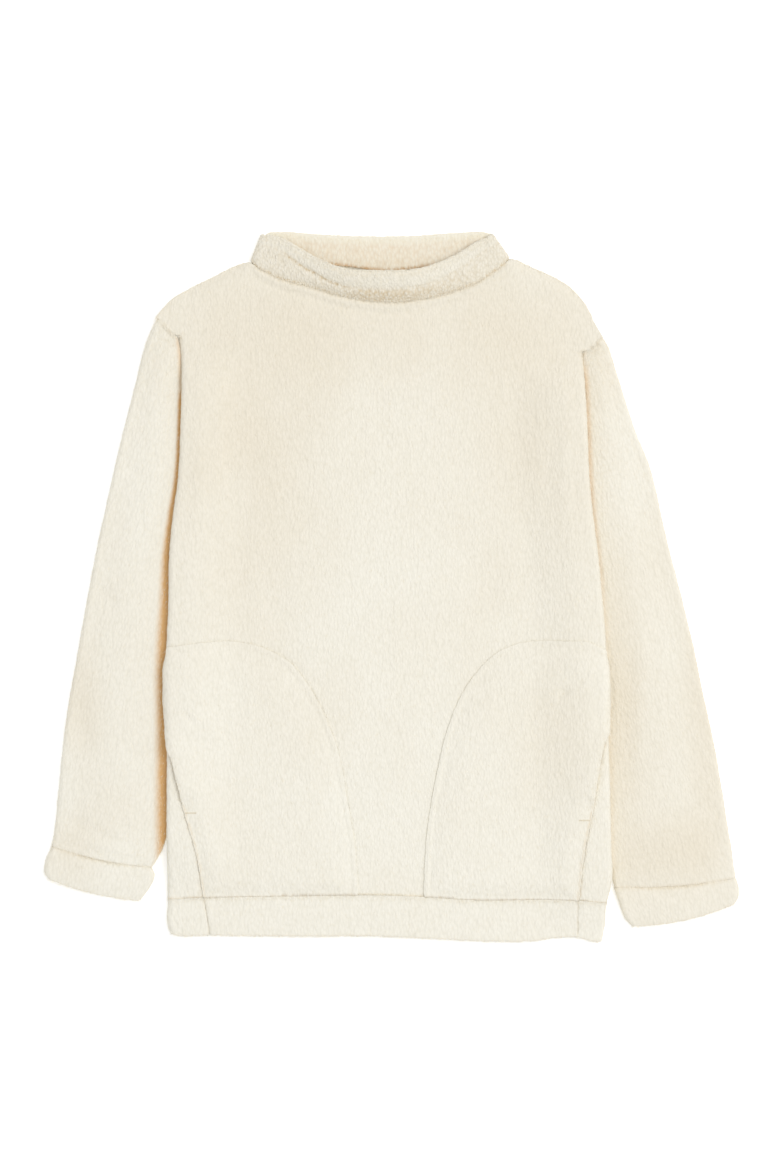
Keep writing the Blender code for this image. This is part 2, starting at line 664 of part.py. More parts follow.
def make_pocket(name, line, pattern, faces, middle, normal):
    """A patch pocket, made from the front panel's own points, moved out."""
    side = 1 if line[0][0] > 0 else -1
    seam = [(seam_edge(up, side, 1), up) for up in seam_heights(side) if up < line[-1][1]]
    inner, outer = side * line[0][0], side * seam[0][0]
    hem_side = [point for point in body_outline(1) if point[1] < seam[0][1] + HEM_REACH]
    hem = [point for point in hem_side if inner < side * point[0] < outer]
    outline = np.array(line + seam[::-1] + sorted(hem, key=lambda point: -side * point[0]))
    centres = np.array([pattern[list(face)].mean(0) for face in faces])
    chosen = [face for face, inside in zip(faces, within(outline, centres)) if inside]
    to_seam = np.abs(seam_place(pattern[:, 1], side) - pattern[:, 0])
    up = pattern[:, 1]
    open_here = ease(up, MOUTH[0], MOUTH[0] + MOUTH_FADE) * (1 - ease(up, MOUTH[1] - MOUTH_FADE, MOUTH[1]))
    loose = POCKET_LOOSE * open_here * (1 - ease(to_seam, 0, MOUTH_DEPTH))
    raised_middle = middle + normal * (WALL + SEAM + loose)[:, None]
    above_hem = up > hem_height(pattern[:, 0], 1) + 2
    sew(name, chosen, raised_middle, normal, WALL, FLEECE, bulge=EDGE_BULGE * above_hem)


def make_hem():
    for name, sheet in (("hem_front", 1), ("hem_back", -1)):
        bottom = hem_line(sheet, 2)
        top = [(a, up - SEAM / 2) for a, up in hem_line(sheet, 1)]
        up = (bottom[0][1] + top[0][1]) / 2
        ends = {side: (seam_edge(up, side, sheet), up) for side in (-1, 1)}
        outline = bottom + [ends[1]] + top[::-1] + [ends[-1]]
        left, right = fold_start(up, -1) + HEM_INSET, fold_start(up, 1) - HEM_INSET
        flat = [(a, up) for a in spread(left, right, BACK_STEP)]
        folded = [(fold_start(up, side) + side * over, up) for side in (-1, 1) for over in fold_turns()]
        pattern, faces = cut(outline, [(flat, HEM_CLEAR), (folded, FOLD_CLEAR)])
        middle, normal = lay_panel(pattern, sheet)
        from_seams = np.minimum(np.abs(pattern[:, 0] - bottom[0][0]), np.abs(pattern[:, 0] - bottom[-1][0]))
        at_bottom = (pattern[:, 1] < HEM[:, 2].max() + 1) & (from_seams > 1)
        sew(name, faces, middle, normal, WALL, FLEECE_LIGHT, facing=sheet, bulge=HEM_BULGE * at_bottom)


def make_collar():
    width = COLLAR_SIDES[1][0] - COLLAR_SIDES[0][0]
    turn = np.linspace(0, (math.pi / 2 * COLLAR_ROLL - SEAM / 2) / width, COLLAR_TURN_ROWS)[1:]
    across = np.concatenate((-turn[::-1], np.linspace(0, 1, COLLAR_COLUMNS + 1), 1 + turn))
    for name, sheet, colour in (("collar_front", 1, FLEECE), ("collar_back", -1, FLEECE_INSIDE)):
        pattern, faces = grid(across, np.linspace(0, 1, COLLAR_ROWS))
        middle, normal = outward(lambda a, b, sheet=sheet: lay_collar(a, b, sheet), pattern,
                                 COLLAR_NUDGE, sheet)
        at_top = (pattern[:, 1] > AT_END) & (pattern[:, 0] > across[0]) & (pattern[:, 0] < across[-1])
        sew(name, faces, middle, normal, COLLAR_WALL, colour, facing=sheet, bulge=COLLAR_BULGE * at_top)


def make_tube(name, sections, crown, rows, colour, facing, end_bulge=0):
    """A sleeve or a cuff, whose ring crosses the upper sheet, inner fold, lower sheet and outer fold."""
    upper, lower = np.linspace(0, 1, UPPER_STEPS + 1), np.linspace(2, 3, LOWER_STEPS + 1)
    fold = np.linspace(1, 2, TUBE_FOLD_STEPS + 1)
    ring = np.concatenate((upper[:-1], fold[:-1], lower[:-1], fold[:-1] + 2))
    pattern, faces = grid(ring, np.linspace(0, 1, rows), closed=True)
    middle, normal = lay_tube(sections, crown, pattern[:, 0], pattern[:, 1])
    bulge = end_bulge * (pattern[:, 1] > AT_END) if end_bulge else None
    sew(name, faces, middle, normal, WALL, colour, facing=facing, bulge=bulge)


def make_sleeves():
    for side, sleeve, cuff, facing in (
            ("left", LEFT_SLEEVE, LEFT_CUFF, -1), ("right", RIGHT_SLEEVE, RIGHT_CUFF, 1)):
        make_tube("sleeve_" + side, sleeve, SLEEVE_CROWN, SLEEVE_ROWS, FLEECE, facing)
        make_tube("cuff_" + side, cuff, CUFF_CROWN, CUFF_ROWS, FLEECE_LIGHT, facing, HEM_BULGE)


for old in list(bpy.data.objects):
    bpy.data.objects.remove(old)

garment = bpy.data.collections.new("funnel_neck_fleece_top")
bpy.context.scene.collection.children.link(garment)
make_body()
make_hem()
make_collar()
make_sleeves()
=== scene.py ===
# Looks of the funnel-neck fleece top: plush cloth with its pile, seams and stitches, then the studio.
# Lengths are millimetres until a mesh is made. Left and right are as seen from the front: sides -1 and 1.
import math
import bpy
import numpy as np
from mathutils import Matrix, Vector, kdtree
from mathutils.bvhtree import BVHTree
from mathutils.geometry import delaunay_2d_cdt


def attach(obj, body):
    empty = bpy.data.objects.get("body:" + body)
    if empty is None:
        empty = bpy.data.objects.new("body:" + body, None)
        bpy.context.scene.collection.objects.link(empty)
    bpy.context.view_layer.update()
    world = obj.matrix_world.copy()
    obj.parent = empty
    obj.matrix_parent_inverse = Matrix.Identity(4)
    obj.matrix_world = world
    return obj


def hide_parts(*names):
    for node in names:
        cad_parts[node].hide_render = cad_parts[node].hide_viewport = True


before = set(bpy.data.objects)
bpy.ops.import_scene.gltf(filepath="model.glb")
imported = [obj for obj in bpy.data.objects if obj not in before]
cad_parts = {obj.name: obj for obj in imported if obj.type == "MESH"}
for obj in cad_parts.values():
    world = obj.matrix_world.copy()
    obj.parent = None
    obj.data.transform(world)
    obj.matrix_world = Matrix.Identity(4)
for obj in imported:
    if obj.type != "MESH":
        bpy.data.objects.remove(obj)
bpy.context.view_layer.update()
print("frame loaded:", len(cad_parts), "pieces of cloth")

mm, metre = 0.001, 1000
farOff = 400.0                    # beyond the cloth
cloth = {
    "wall": 4.0,                  # pile pressed down included
    "collarWall": 5.4,            # doubled
    "seam": -0.3,                 # neighbouring pieces meet in their pile
    "meet": 0.6,                  # and a sleeve's ends reach this far into it
    "roll": 3.5,                  # middle of the cloth round a side fold
    "stack": 11.0,                # front and back together
    "across": 1.4,                # spacing of the pile's points across the nap
    "along": 2.6,                 # and along it
    "hiddenAcross": 3.4, "hiddenAlong": 6.0,
    "insideStep": 16, "insideClear": 1.2,    # inner face: spacing, and distance from the outline
    "clear": 0.8,                 # outer face: distance from the outline, in spacings
    "sideStep": 1.4,              # steps along a side, in steps of the outline
    "rimRings": 5, "openBulge": 0.6,
    "facesUp": -0.1,              # lowest upward part of a normal that can be seen
}
step = cloth["across"] * 1.15
dense = (cloth["across"], cloth["along"])


# Curves, spacing and noise
def through(places, values, at):
    at = np.clip(at, places[0], places[-1])
    slopes = np.gradient(values, places)
    row = np.clip(np.searchsorted(places, at, side="right") - 1, 0, len(places) - 2)
    gap = places[row + 1] - places[row]
    share = (at - places[row]) / gap
    start, end = values[row], values[row + 1]
    bend = share * share * (3 - 2 * share)
    leave = share * (1 - share) ** 2 * gap * slopes[row]
    arrive = share * share * (share - 1) * gap * slopes[row + 1]
    return start + (end - start) * bend + leave + arrive


def lookUp(table, at, column=1):
    return through(table[:, 0], table[:, column], at)


def ease(at, low, high):
    share = np.clip((np.asarray(at, float) - low) / (high - low), 0, 1)
    return share * share * (3 - 2 * share)


def band(at, start, full, fall, end):
    return ease(at, start, full) * (1 - ease(at, fall, end))


def fade(away, width, power=2):   # 1 at a seam, 0 from this width on
    return (1 - np.clip(away / width, 0, 1)) ** power


def spread(start, end, gap):
    return np.linspace(start, end, max(1, round(abs(end - start) / gap)) + 1)


def smoothLine(points, gap):      # a smooth curve through points of the flat pattern
    points = np.array(points, float)
    length = np.concatenate(([0], np.cumsum(np.linalg.norm(np.diff(points, axis=0), axis=1))))
    at = spread(0, length[-1], gap)
    return np.stack((through(length, points[:, 0], at), through(length, points[:, 1], at)), -1)


def unit(vectors):
    return vectors / np.maximum(np.linalg.norm(vectors, axis=-1), 1e-6)[..., None]


noiseTables = np.random.default_rng(41).uniform(-1, 1, (16, 256, 256))


def wander(x, y, which):          # smooth noise from -1 to 1
    column, row = np.floor(x).astype(int), np.floor(y).astype(int)
    a, b = x - column, y - row
    a, b = a * a * (3 - 2 * a), b * b * (3 - 2 * b)
    corner = [[noiseTables[which][(column + i) % 256, (row + j) % 256] for j in (0, 1)] for i in (0, 1)]
    low = corner[0][0] * (1 - a) + corner[1][0] * a
    high = corner[0][1] * (1 - a) + corner[1][1] * a
    return low * (1 - b) + high * b


pile = {                          # waves of the pile: size across the nap, along it, height, noise table
    "drift": (26, 34, 1.2, 0), "sway": (9, 15, 0.5, 1), "comb": (5, 9, 2.5, 2),
    "tuft": (1.9, 4.6, 0.3, 3), "clump": (11, 12, 0.05, 4), "swell": (36, 52, 0.16, 5),
    "rag": (3.1, 4.3, 0.7, 7), "pocketRag": (2.4, 3.4, 0.9, 7), "panelRag": (2.4, 3.4, 1.1, 7),
    "edge": (2.3, 3.1, 1.0, 8),
}
pressed = {"sink": 0.4, "nextAcross": 311, "nextAlong": 173}


def waves(kind, u, v):
    wide, long, height, which = pile[kind]
    return height * wander(u / wide, v / long, which)


def pileRelief(u, v, shift=0):    # height of the pile, u across the nap and v along it
    u, v = u + pressed["nextAcross"] * shift, v + pressed["nextAlong"] * shift
    across, along = u + (waves("drift", u, v) + waves("sway", u, v)), v + waves("comb", u, v)
    tufts = waves("tuft", across, along) + waves("clump", across, along)
    return tufts + waves("swell", u, v) - pressed["sink"]


def distanceTo(lines, points):    # of each pattern point from the nearest point of finely drawn lines
    drawn = np.concatenate([np.asarray(line, float) for line in lines])
    tree = kdtree.KDTree(len(drawn))
    for k, (a, b) in enumerate(drawn):
        tree.insert((a, b, 0), k)
    tree.balance()
    return np.array([tree.find((a, b, 0))[2] for a, b in points])


def furrow(beside, half, along, fall):    # a soft hollow across, faded at both ends
    return np.clip(1 - (beside / half) ** 2, 0, 1) ** 2 * band(along, 0, 0.3, fall, 1)


# The body's shape
body = {
    "edges": np.array((           # height, left edge, right edge
        (-346, -213, 206), (-332, -219, 209), (-306, -219, 211), (-289, -219, 215), (-247, -219.5, 214.5),
        (-172, -219.5, 213), (-128, -219.5, 211), (-92, -220, 210), (-58, -219.5, 209.5), (-13, -217.5, 206),
        (29, -217, 201.5), (71, -213, 196.5), (104, -208.5, 193.5), (150, -206, 191.5), (200, -205, 189),
        (229, -206, 187.5), (244, -208, 187.5))),
    "sideSeams": np.array((       # height, left place, right place
        (-350, -175, 181.5), (-306, -182, 182), (-279, -186, 185), (-252, -191.5, 188.5), (-223, -200, 194.5),
        (-196, -206.5, 198.5), (-172, -212.5, 202.5), (-147, -218.8, 207.5), (-125, -226, 213),
        (-100, -234, 221))),
    "hem": np.array((             # across, seam height, bottom height
        (-225, -305, -334), (-212, -304.5, -338), (-178, -303, -338.5), (-91, -301.5, -339.5),
        (-16, -301, -339.5), (34, -302.5, -341.5), (86, -305.5, -344), (138, -305, -344),
        (164, -305, -340.5), (181, -305.5, -340.5), (197, -307, -344.5), (215, -308.5, -345))),
    "shoulder": {
        -1: np.array(((-228.5, 263), (-220, 273), (-211, 281.5), (-197, 289.5), (-173, 301.5),
                      (-156, 310), (-139, 316.5))),
        1: np.array(((117, 320), (138, 310), (158, 301), (175, 290), (188, 275), (196.5, 260),
                     (205.5, 244.5)))},
    "neck": {                     # of the front and the back
        1: np.array(((-139, 316.5), (-111, 301.5), (-83, 294), (-53, 285), (-27, 280), (1, 278),
                     (29, 281), (57, 287.5), (85, 298), (105, 311), (117, 320))),
        -1: np.array(((-139, 316.5), (-90, 315), (-42, 312.5), (-8, 308), (37, 312.5), (80, 317),
                      (117, 320)))},
    "foldEnd": {-1: 244.0, 1: 229.0},
    "raised": {-1: (243, 196, -248, -308), 1: (228, 181, -286, -342)},    # top, full, full, low
    "underarms": ((-209, 244), (188, 229)), "cornerReach": 6.0, "holeReach": 2.4,
    "lift": 9.5, "liftEdge": 11.0, "liftFade": 58.0,
    "hiddenSeam": 8.2, "armholeTaper": 14.0, "armholeGap": -0.5,
    "shoulderDip": 2.4, "shoulderDepth": 11.0, "shoulderEnds": {-1: (194, 222), 1: (170, 198)},
    "troughs": (((-152, 236), (-160, 70), 15, 1.1), ((160, 190), (153, 45), 14, 1.0)),
}
neckSides = {-1: (-139, -129), 1: (117, 101)}    # at the seam, at the collar's top
neckWidth = neckSides[1][0] - neckSides[-1][0]
sideColumn = {-1: 1, 1: 2}
seamColumn, bottomColumn = 1, 2


def foldStart(up, side):
    reach = cloth["wall"] / 2 + cloth["roll"]
    edge = lookUp(body["edges"], up, sideColumn[side])
    return np.where(up > body["foldEnd"][side] + 0.3, side * farOff, edge - side * reach)


def liftAt(across, up):           # the body's sides lie on the sleeves
    lift = 0
    for side, (top, fullTop, fullLow, low) in body["raised"].items():
        inward = side * (foldStart(up, side) - across)
        near = 1 - ease(inward, body["liftEdge"], body["liftEdge"] + body["liftFade"])
        lift = lift + near * ease(up, top, fullTop) * ease(up, low, fullLow)
    return body["lift"] * lift


def shoulderHeight(across):
    left, right = (lookUp(body["shoulder"][side], across) for side in (-1, 1))
    return np.where(np.asarray(across) < 0, left, right)


def creaseAt(across, up, creases):
    depth = np.zeros(np.broadcast(across, up).shape)
    for (x1, y1), (x2, y2), half, deepest in creases:
        length = math.hypot(x2 - x1, y2 - y1)
        along = ((across - x1) * (x2 - x1) + (up - y1) * (y2 - y1)) / length ** 2
        beside = np.abs((across - x1) * (y2 - y1) - (up - y1) * (x2 - x1)) / length
        depth += deepest * furrow(beside, half, along, 0.7)
    return depth


def troughAt(across, up):
    depth = np.zeros(np.broadcast(across, up).shape)
    for (x1, y1), (x2, y2), half, deepest in body["troughs"]:
        along = (y1 - up) / (y1 - y2)
        depth += deepest * furrow(across - x1 - (x2 - x1) * along, half, along, 0.65)
    return depth


def outwardAt(over):              # how far round the fold a point comes out
    roll = cloth["roll"]
    return roll * np.sin(np.clip(over / roll, 0, math.pi)) - np.maximum(over - math.pi * roll, 0)


def layBody(across, up, sheet):   # from flat pattern to laid garment; the front's sheet is 1, the back's -1
    left, right = foldStart(up, -1), foldStart(up, 1)
    side = np.where(across < left, -1, 1)
    over = np.maximum(np.maximum(left - across, across - right), 0)
    x = np.where(over > 0, np.where(side < 0, left, right) + side * outwardAt(over), across)
    turn = np.clip(over / cloth["roll"], 0, math.pi)
    z = liftAt(x, up) + cloth["stack"] / 2 + sheet * cloth["roll"] * np.cos(turn)
    if sheet > 0:
        near = 1 - ease(shoulderHeight(across) - up, 0, body["shoulderDepth"])
        beside = sum(ease(side * (across - neckSides[side][0]), 0, body["shoulderDepth"])
                     * (1 - ease(side * across, *body["shoulderEnds"][side])) for side in (-1, 1))
        z = z - body["shoulderDip"] * near * beside - troughAt(across, up)
    return np.stack((x, up, z), -1)


def layPanel(points, sheet):      # places and outward normals
    a, b = points[:, 0], points[:, 1]
    ahead, aside = (layBody(a + s, b + t, sheet) - layBody(a - s, b - t, sheet)
                    for s, t in ((0.05, 0), (0, 0.05)))
    return layBody(a, b, sheet), unit(sheet * np.cross(ahead, aside))


def toArmhole(up, side):
    return ease(up, body["foldEnd"][side] - body["armholeTaper"], body["foldEnd"][side])


def seamPlace(up, side):
    drawn = lookUp(body["sideSeams"], up, sideColumn[side])
    half = math.pi / 2 * cloth["roll"]
    past = body["hiddenSeam"] + (half - body["hiddenSeam"]) * toArmhole(up, side)
    return side * np.minimum(side * drawn, side * (foldStart(up, side) + side * past))


def seamEdge(up, side, sheet):    # a panel's own edge along the side seam
    seam = seamPlace(up, side)
    gap = cloth["seam"] / 2 + (body["armholeGap"] - cloth["seam"]) / 2 * toArmhole(up, side)
    if sheet > 0:
        return seam - side * gap
    return 2 * foldStart(up, side) + side * math.pi * cloth["roll"] - (seam + side * gap)


def hemHeight(across, column):
    return lookUp(body["hem"], across, column)


def settle(side, column, placeAt):    # where a line down the side crosses the hem
    up = hemHeight(side * 200, column)
    for _ in range(6):
        up = hemHeight(placeAt(up), column)
    return float(placeAt(up)), float(up)


def seamCorner(side, column):
    return settle(side, column, lambda up: seamPlace(up, side))


def roundFold(side, over, column):
    up = settle(side, column, lambda up: foldStart(up, side) + side * outwardAt(over))[1]
    return float(foldStart(up, side) + side * over), up


def hemLine(sheet, column, gap):
    ends = {side: float(seamEdge(seamCorner(side, column)[1], side, sheet)) for side in (-1, 1)}
    if sheet > 0:
        return [(a, float(hemHeight(a, column))) for a in spread(ends[-1], ends[1], gap)]
    line = []
    for side in (-1, 1):
        start = roundFold(side, 0, column)
        last = roundFold(side, abs(ends[side] - float(foldStart(start[1], side))), column)
        reach = side * (ends[side] - float(foldStart(last[1], side)))
        wrap = [roundFold(side, over, column) for over in spread(0, reach, gap)]
        line.append(wrap if side > 0 else wrap[::-1])
    flat = [(a, float(hemHeight(a, column))) for a in spread(line[0][-1][0], line[1][0][0], gap)[1:-1]]
    return line[0] + flat + line[1]


def sideLine(side, sheet, gap):
    low = seamCorner(side, seamColumn)[1] + cloth["seam"] / 2
    return [(float(seamEdge(up, side, sheet)), float(up)) for up in spread(low, body["foldEnd"][side], gap)]


def neckLine(sheet, gap):
    inset = cloth["collarWall"] / 2 + collar["roll"]
    across = spread(neckSides[1][0] - inset, neckSides[-1][0] + inset, gap)
    return [(float(a), float(lookUp(body["neck"][sheet], a)) - cloth["seam"] / 2) for a in across]


def shoulderLine(side, gap):      # both run the way round the outline
    table = body["shoulder"][side]
    ends = [table[-1, 0], table[0, 0]]
    ends[0 if side > 0 else 1] -= side * body["armholeGap"]
    return [(float(a), float(lookUp(table, a))) for a in spread(*ends, gap)]


def holeLine(start, end, side, gap):    # the armhole, past a middle point
    reach = body["armholeGap"]
    middle = np.array(((start[0] + end[0]) / 2 - side * reach, (start[1] + end[1]) / 2 + reach))
    drawn = []
    for first, second in ((np.array(start), middle), (middle, np.array(end))):
        count = max(1, round(math.dist(first, second) / gap))
        drawn += [tuple(first + (second - first) * k / count) for k in range(1, count + 1)]
    return drawn[:-1]


def panelEdges(sheet):
    sides = {side: sideLine(side, sheet, step * cloth["sideStep"]) for side in (-1, 1)}
    shoulders = {side: shoulderLine(side, step) for side in (-1, 1)}
    return {
        "hem": [(a, up + cloth["seam"] / 2) for a, up in hemLine(sheet, seamColumn, step)],
        "neck": neckLine(sheet, step), "side": sides, "shoulder": shoulders,
        "hole": {1: holeLine(sides[1][-1], shoulders[1][0], 1, step),
                 -1: holeLine(shoulders[-1][-1], sides[-1][-1], -1, step)},
    }


# Flat patterns to closed cloth
def cutCloth(outline, fillers, clear):
    outline = np.array(outline, float)
    kept = []
    for filler, gap in zip(fillers, clear):
        filler = np.array(filler, float)
        kept.append(filler[distanceTo([outline], filler) > gap])
    count = len(outline)
    points = np.concatenate([outline] + kept)
    verts, _, faces, origin, _, _ = delaunay_2d_cdt(points.tolist(), [], [list(range(count))], 1, 1e-4)
    place = {first[0]: k for k, first in enumerate(origin) if first}
    order = [place[k] for k in range(count)]
    order = np.array(order + sorted({k for face in faces for k in face} - set(order)))
    renamed = np.full(len(verts), -1)
    renamed[order] = np.arange(len(order))
    flat = np.array([tuple(v) for v in verts])[order]
    faces = renamed[np.array([face for face in faces])]
    corner = flat[faces]
    edgeA, edgeB = corner[:, 1] - corner[:, 0], corner[:, 2] - corner[:, 0]
    turned = edgeA[:, 0] * edgeB[:, 1] - edgeA[:, 1] * edgeB[:, 0] < 0
    faces[turned] = faces[turned][:, ::-1]
    return flat, faces


def fineRows(low, high, left, right, across, along):
    rows = []
    for k, up in enumerate(spread(low, high, along)):
        row = np.arange(left + across / 2 * (k % 2), right, across)
        rows.append(np.stack((row, np.full(len(row), up)), -1))
    return np.concatenate(rows)


def overFold(up, side):           # points round a side fold
    start = float(foldStart(up, side))
    return [(start + side * over, up) for over in np.arange(7) * math.pi * cloth["roll"] / 6]


def insideRows(sheet):
    rows = []
    for up in spread(-300, 300, cloth["insideStep"]):
        for side in (-1, 1):
            start = float(foldStart(up, side))
            if abs(start) < farOff:
                rows += overFold(up, side)
                if sheet < 0:
                    reach = side * (float(seamEdge(up, side, sheet)) - start)
                    turned = np.arange(math.pi * cloth["roll"] + 9, reach - 4, 9)
                    rows += [(start + side * over, up) for over in turned]
        left, right = max(float(foldStart(up, -1)), -230), min(float(foldStart(up, 1)), 220)
        rows += [(a, up) for a in spread(left + 8, right - 8, cloth["insideStep"])]
    return rows


def rimOf(top, wall):             # round from the outer face to the inner one: height and reach of each ring
    for ring in range(cloth["rimRings"]):
        angle = math.pi * (ring + 1) / (cloth["rimRings"] + 1)
        yield (top - wall / 2) / 2 + (top + wall / 2) / 2 * math.cos(angle), math.sin(angle)


def bridge(loops):                # faces between neighbouring rings of points
    faces = []
    for first, second in zip(loops, loops[1:]):
        corners = (np.roll(first, -1), first, second, np.roll(second, -1))
        faces += [tuple(face) for face in np.stack(corners, -1).tolist()]
    return faces


def closeSheet(outer, outerFaces, inner, innerFaces, middle, normal, wall, bulge, fuzz, facing):
    # the first points of outer and inner are the same outline, and middle and normal are the outline's own
    count = len(middle)
    out = unit(facing * np.cross(np.roll(middle, -1, 0) - np.roll(middle, 1, 0), normal))
    top = ((outer[:count] - middle) * normal).sum(1)
    isOpen = bulge > cloth["openBulge"]
    rings = []
    for height, reach in rimOf(top, wall):
        share = 1 - (1 - reach) * isOpen
        rings.append(middle + normal * height[:, None] + out * (bulge * share + fuzz * reach)[:, None])
    lean = unit(out + normal * 0.5)
    fringe = np.concatenate([ring[isOpen] for ring in rings[:3]]), np.concatenate([lean[isOpen]] * 3)
    firstRing = len(outer) + len(inner)
    loops = [np.arange(count)] + [firstRing + k * count + np.arange(count) for k in range(len(rings))]
    loops.append(len(outer) + np.arange(count))
    faces = [tuple(face) for face in outerFaces.tolist()]
    faces += [tuple(face[::-1]) for face in (innerFaces + len(outer)).tolist()] + bridge(loops)
    return np.concatenate([outer, inner] + rings), faces, fringe


def closePattern(outline, fine, faces, laid, height, inside, bulge, fuzz, facing, lay):
    middle, normal = laid
    rough, roughFaces = cutCloth(outline, *inside)
    innerMiddle, innerNormal = lay(rough)
    outer = middle + normal * height[:, None]
    inner = innerMiddle - innerNormal * cloth["wall"] / 2
    count = len(outline)
    fuzz = fuzz * waves("edge", fine[:count, 0], fine[:count, 1]) * (bulge > 0)
    return outer, closeSheet(outer, faces, inner, roughFaces, middle[:count], normal[:count],
                             cloth["wall"], bulge, fuzz, facing)


def addMesh(name, verts, faces, look, slotName=None):
    mesh = bpy.data.meshes.new(name)
    mesh.from_pydata((np.array(verts) * mm).tolist(), [], faces)
    mesh.materials.append(look)
    made = bpy.data.objects.new(name, mesh)
    bpy.context.scene.collection.objects.link(made)
    if slotName:
        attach(made, "root")
    return made


surfaces = {}


def makePiece(name, node, verts, faces, look, slotName, paintedShade, facing=1, flush=()):
    if facing < 0:
        faces = [face[::-1] for face in faces]
    verts = np.array(verts)
    verts[:, 2] = np.maximum(verts[:, 2], 0)
    made = addMesh(name, verts, faces, look, slotName)
    mesh = made.data
    # each point's painted shade, read by the material as a mesh attribute
    shade = np.zeros(len(verts), np.float32)
    shade[:len(paintedShade)] = paintedShade
    mesh.attributes.new("paintedShade", "FLOAT", "POINT").data.foreach_set("value", shade)
    mesh.shade_smooth()
    if len(flush):                # these edges lie level with the next piece, so no shade rounds them
        isFlush = np.zeros(len(verts), bool)
        isFlush[flush] = True
        ends = np.empty(2 * len(mesh.edges), int)
        mesh.edges.foreach_get("vertices", ends)
        split = mesh.attributes.new("sharp_edge", "BOOLEAN", "EDGE")
        split.data.foreach_set("value", isFlush[ends.reshape(-1, 2)].all(1))
    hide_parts(node)
    surfaces[name] = verts, faces
    print("made", name, len(mesh.polygons), "faces")
    return made


# Loose fibres that stand out of the pile, closed slivers joined in one mesh for each piece of cloth
fibres = {
    "wide": 0.50, "thick": 0.30, "long": (2.2, 4.2), "rise": 0.30, "sway": 0.32, "sunk": 0.35,
    "inField": 0.15, "nearSeam": 1.1, "seamFrom": 0.8, "seamReach": 4.5, "onSide": 0.9, "onEdge": 0.9,
    "quickShare": 0.3, "jitter": 1.3, "comb": 0.12, "lowest": 0.2,
}


def makeFibres(name, roots, normals, nap, away, slotName, seed, fringe=None, many=1.0):
    random = np.random.default_rng(seed)
    bySeam = 1 - ease(away, fibres["seamFrom"], fibres["seamReach"])
    often = (fibres["inField"] + (fibres["nearSeam"] - fibres["inField"]) * bySeam
             + fibres["onSide"] * (1 - ease(normals[:, 2], 0.15, 0.6))) * (roots[:, 2] > 1.5) * many
    if fringe is not None:
        roots, normals = np.concatenate((roots, fringe[0])), np.concatenate((normals, fringe[1]))
        often = np.concatenate((often, np.full(len(fringe[0]), fibres["onEdge"] * many)))
    picked = np.repeat(np.arange(len(roots)), np.floor(often + random.uniform(0, 1, len(roots))).astype(int))
    normal = normals[picked]
    nap = np.array(nap) + random.normal(0, fibres["comb"], normal.shape)
    along = unit(nap - normal * (nap * normal).sum(1)[:, None])
    across = np.cross(normal, along)
    count = len(picked)
    shift = random.uniform(-fibres["jitter"], fibres["jitter"], (2, count, 1))
    lean = random.normal(0, fibres["sway"], (count, 1))
    long = random.uniform(*fibres["long"], (count, 1))
    root = roots[picked] + along * shift[0] + across * shift[1] * 0.55 - normal * fibres["sunk"]
    heading = along * np.cos(lean) + across * np.sin(lean)
    beside = np.cross(normal, heading)
    tip = root + heading * long + normal * long * fibres["rise"] * random.uniform(0.5, 1.4, (count, 1))
    half = fibres["wide"] / 2 * random.uniform(0.7, 1.2, (count, 1))
    crest = root + normal * fibres["thick"] + heading * 0.4
    corners = np.stack((root - beside * half, root + beside * half, crest, tip), 1)
    corners[..., 2] = np.maximum(corners[..., 2], fibres["lowest"])
    sliver = np.array(((0, 3, 2), (3, 1, 2), (0, 1, 3), (0, 2, 1)))
    faces = (4 * np.arange(count)[:, None, None] + sliver).reshape(-1, 3)
    made = addMesh(name, corners.reshape(-1, 3), faces.tolist(), fibreLooks[slotName], slotName)
    lowest, highest = corners.min((0, 1)), corners.max((0, 1))
    order = np.empty(len(made.data.loops), int)
    made.data.loops.foreach_get("vertex_index", order)
    flat = (corners.reshape(-1, 3)[order] - lowest) / (highest - lowest)
    made.data.uv_layers.new(name="OFBake").data.foreach_set("uv", flat[:, :2].ravel())
    print("made", name, count, "fibres")
    return made


# Shader sockets written as sums and products
class Channel:
    def __init__(self, look, socket):
        self.look, self.socket = look, socket

    def reckon(self, operation, first, second):
        return self.look.node("ShaderNodeMath", {"operation": operation}, {0: first, 1: second})

    def __add__(self, other):
        return self.reckon("ADD", self, other)

    def __sub__(self, other):
        return self.reckon("SUBTRACT", self, other)

    def __rsub__(self, other):
        return self.reckon("SUBTRACT", other, self)

    def __mul__(self, other):
        return self.reckon("MULTIPLY", self, other)

    def __truediv__(self, other):
        return self.reckon("DIVIDE", self, other)

    def __pow__(self, other):
        return self.reckon("POWER", self, other)

    __radd__ = __add__
    __rmul__ = __mul__

    def clamped(self):
        return self.look.node("ShaderNodeClamp", {}, {"Value": self, "Min": 0, "Max": 1})

    def mixed(self, first, second):     # a colour between two, by this share
        ends = {"Factor": self, "A": first, "B": second}
        return self.look.node("ShaderNodeMix", {"data_type": "RGBA"}, ends, "Result")


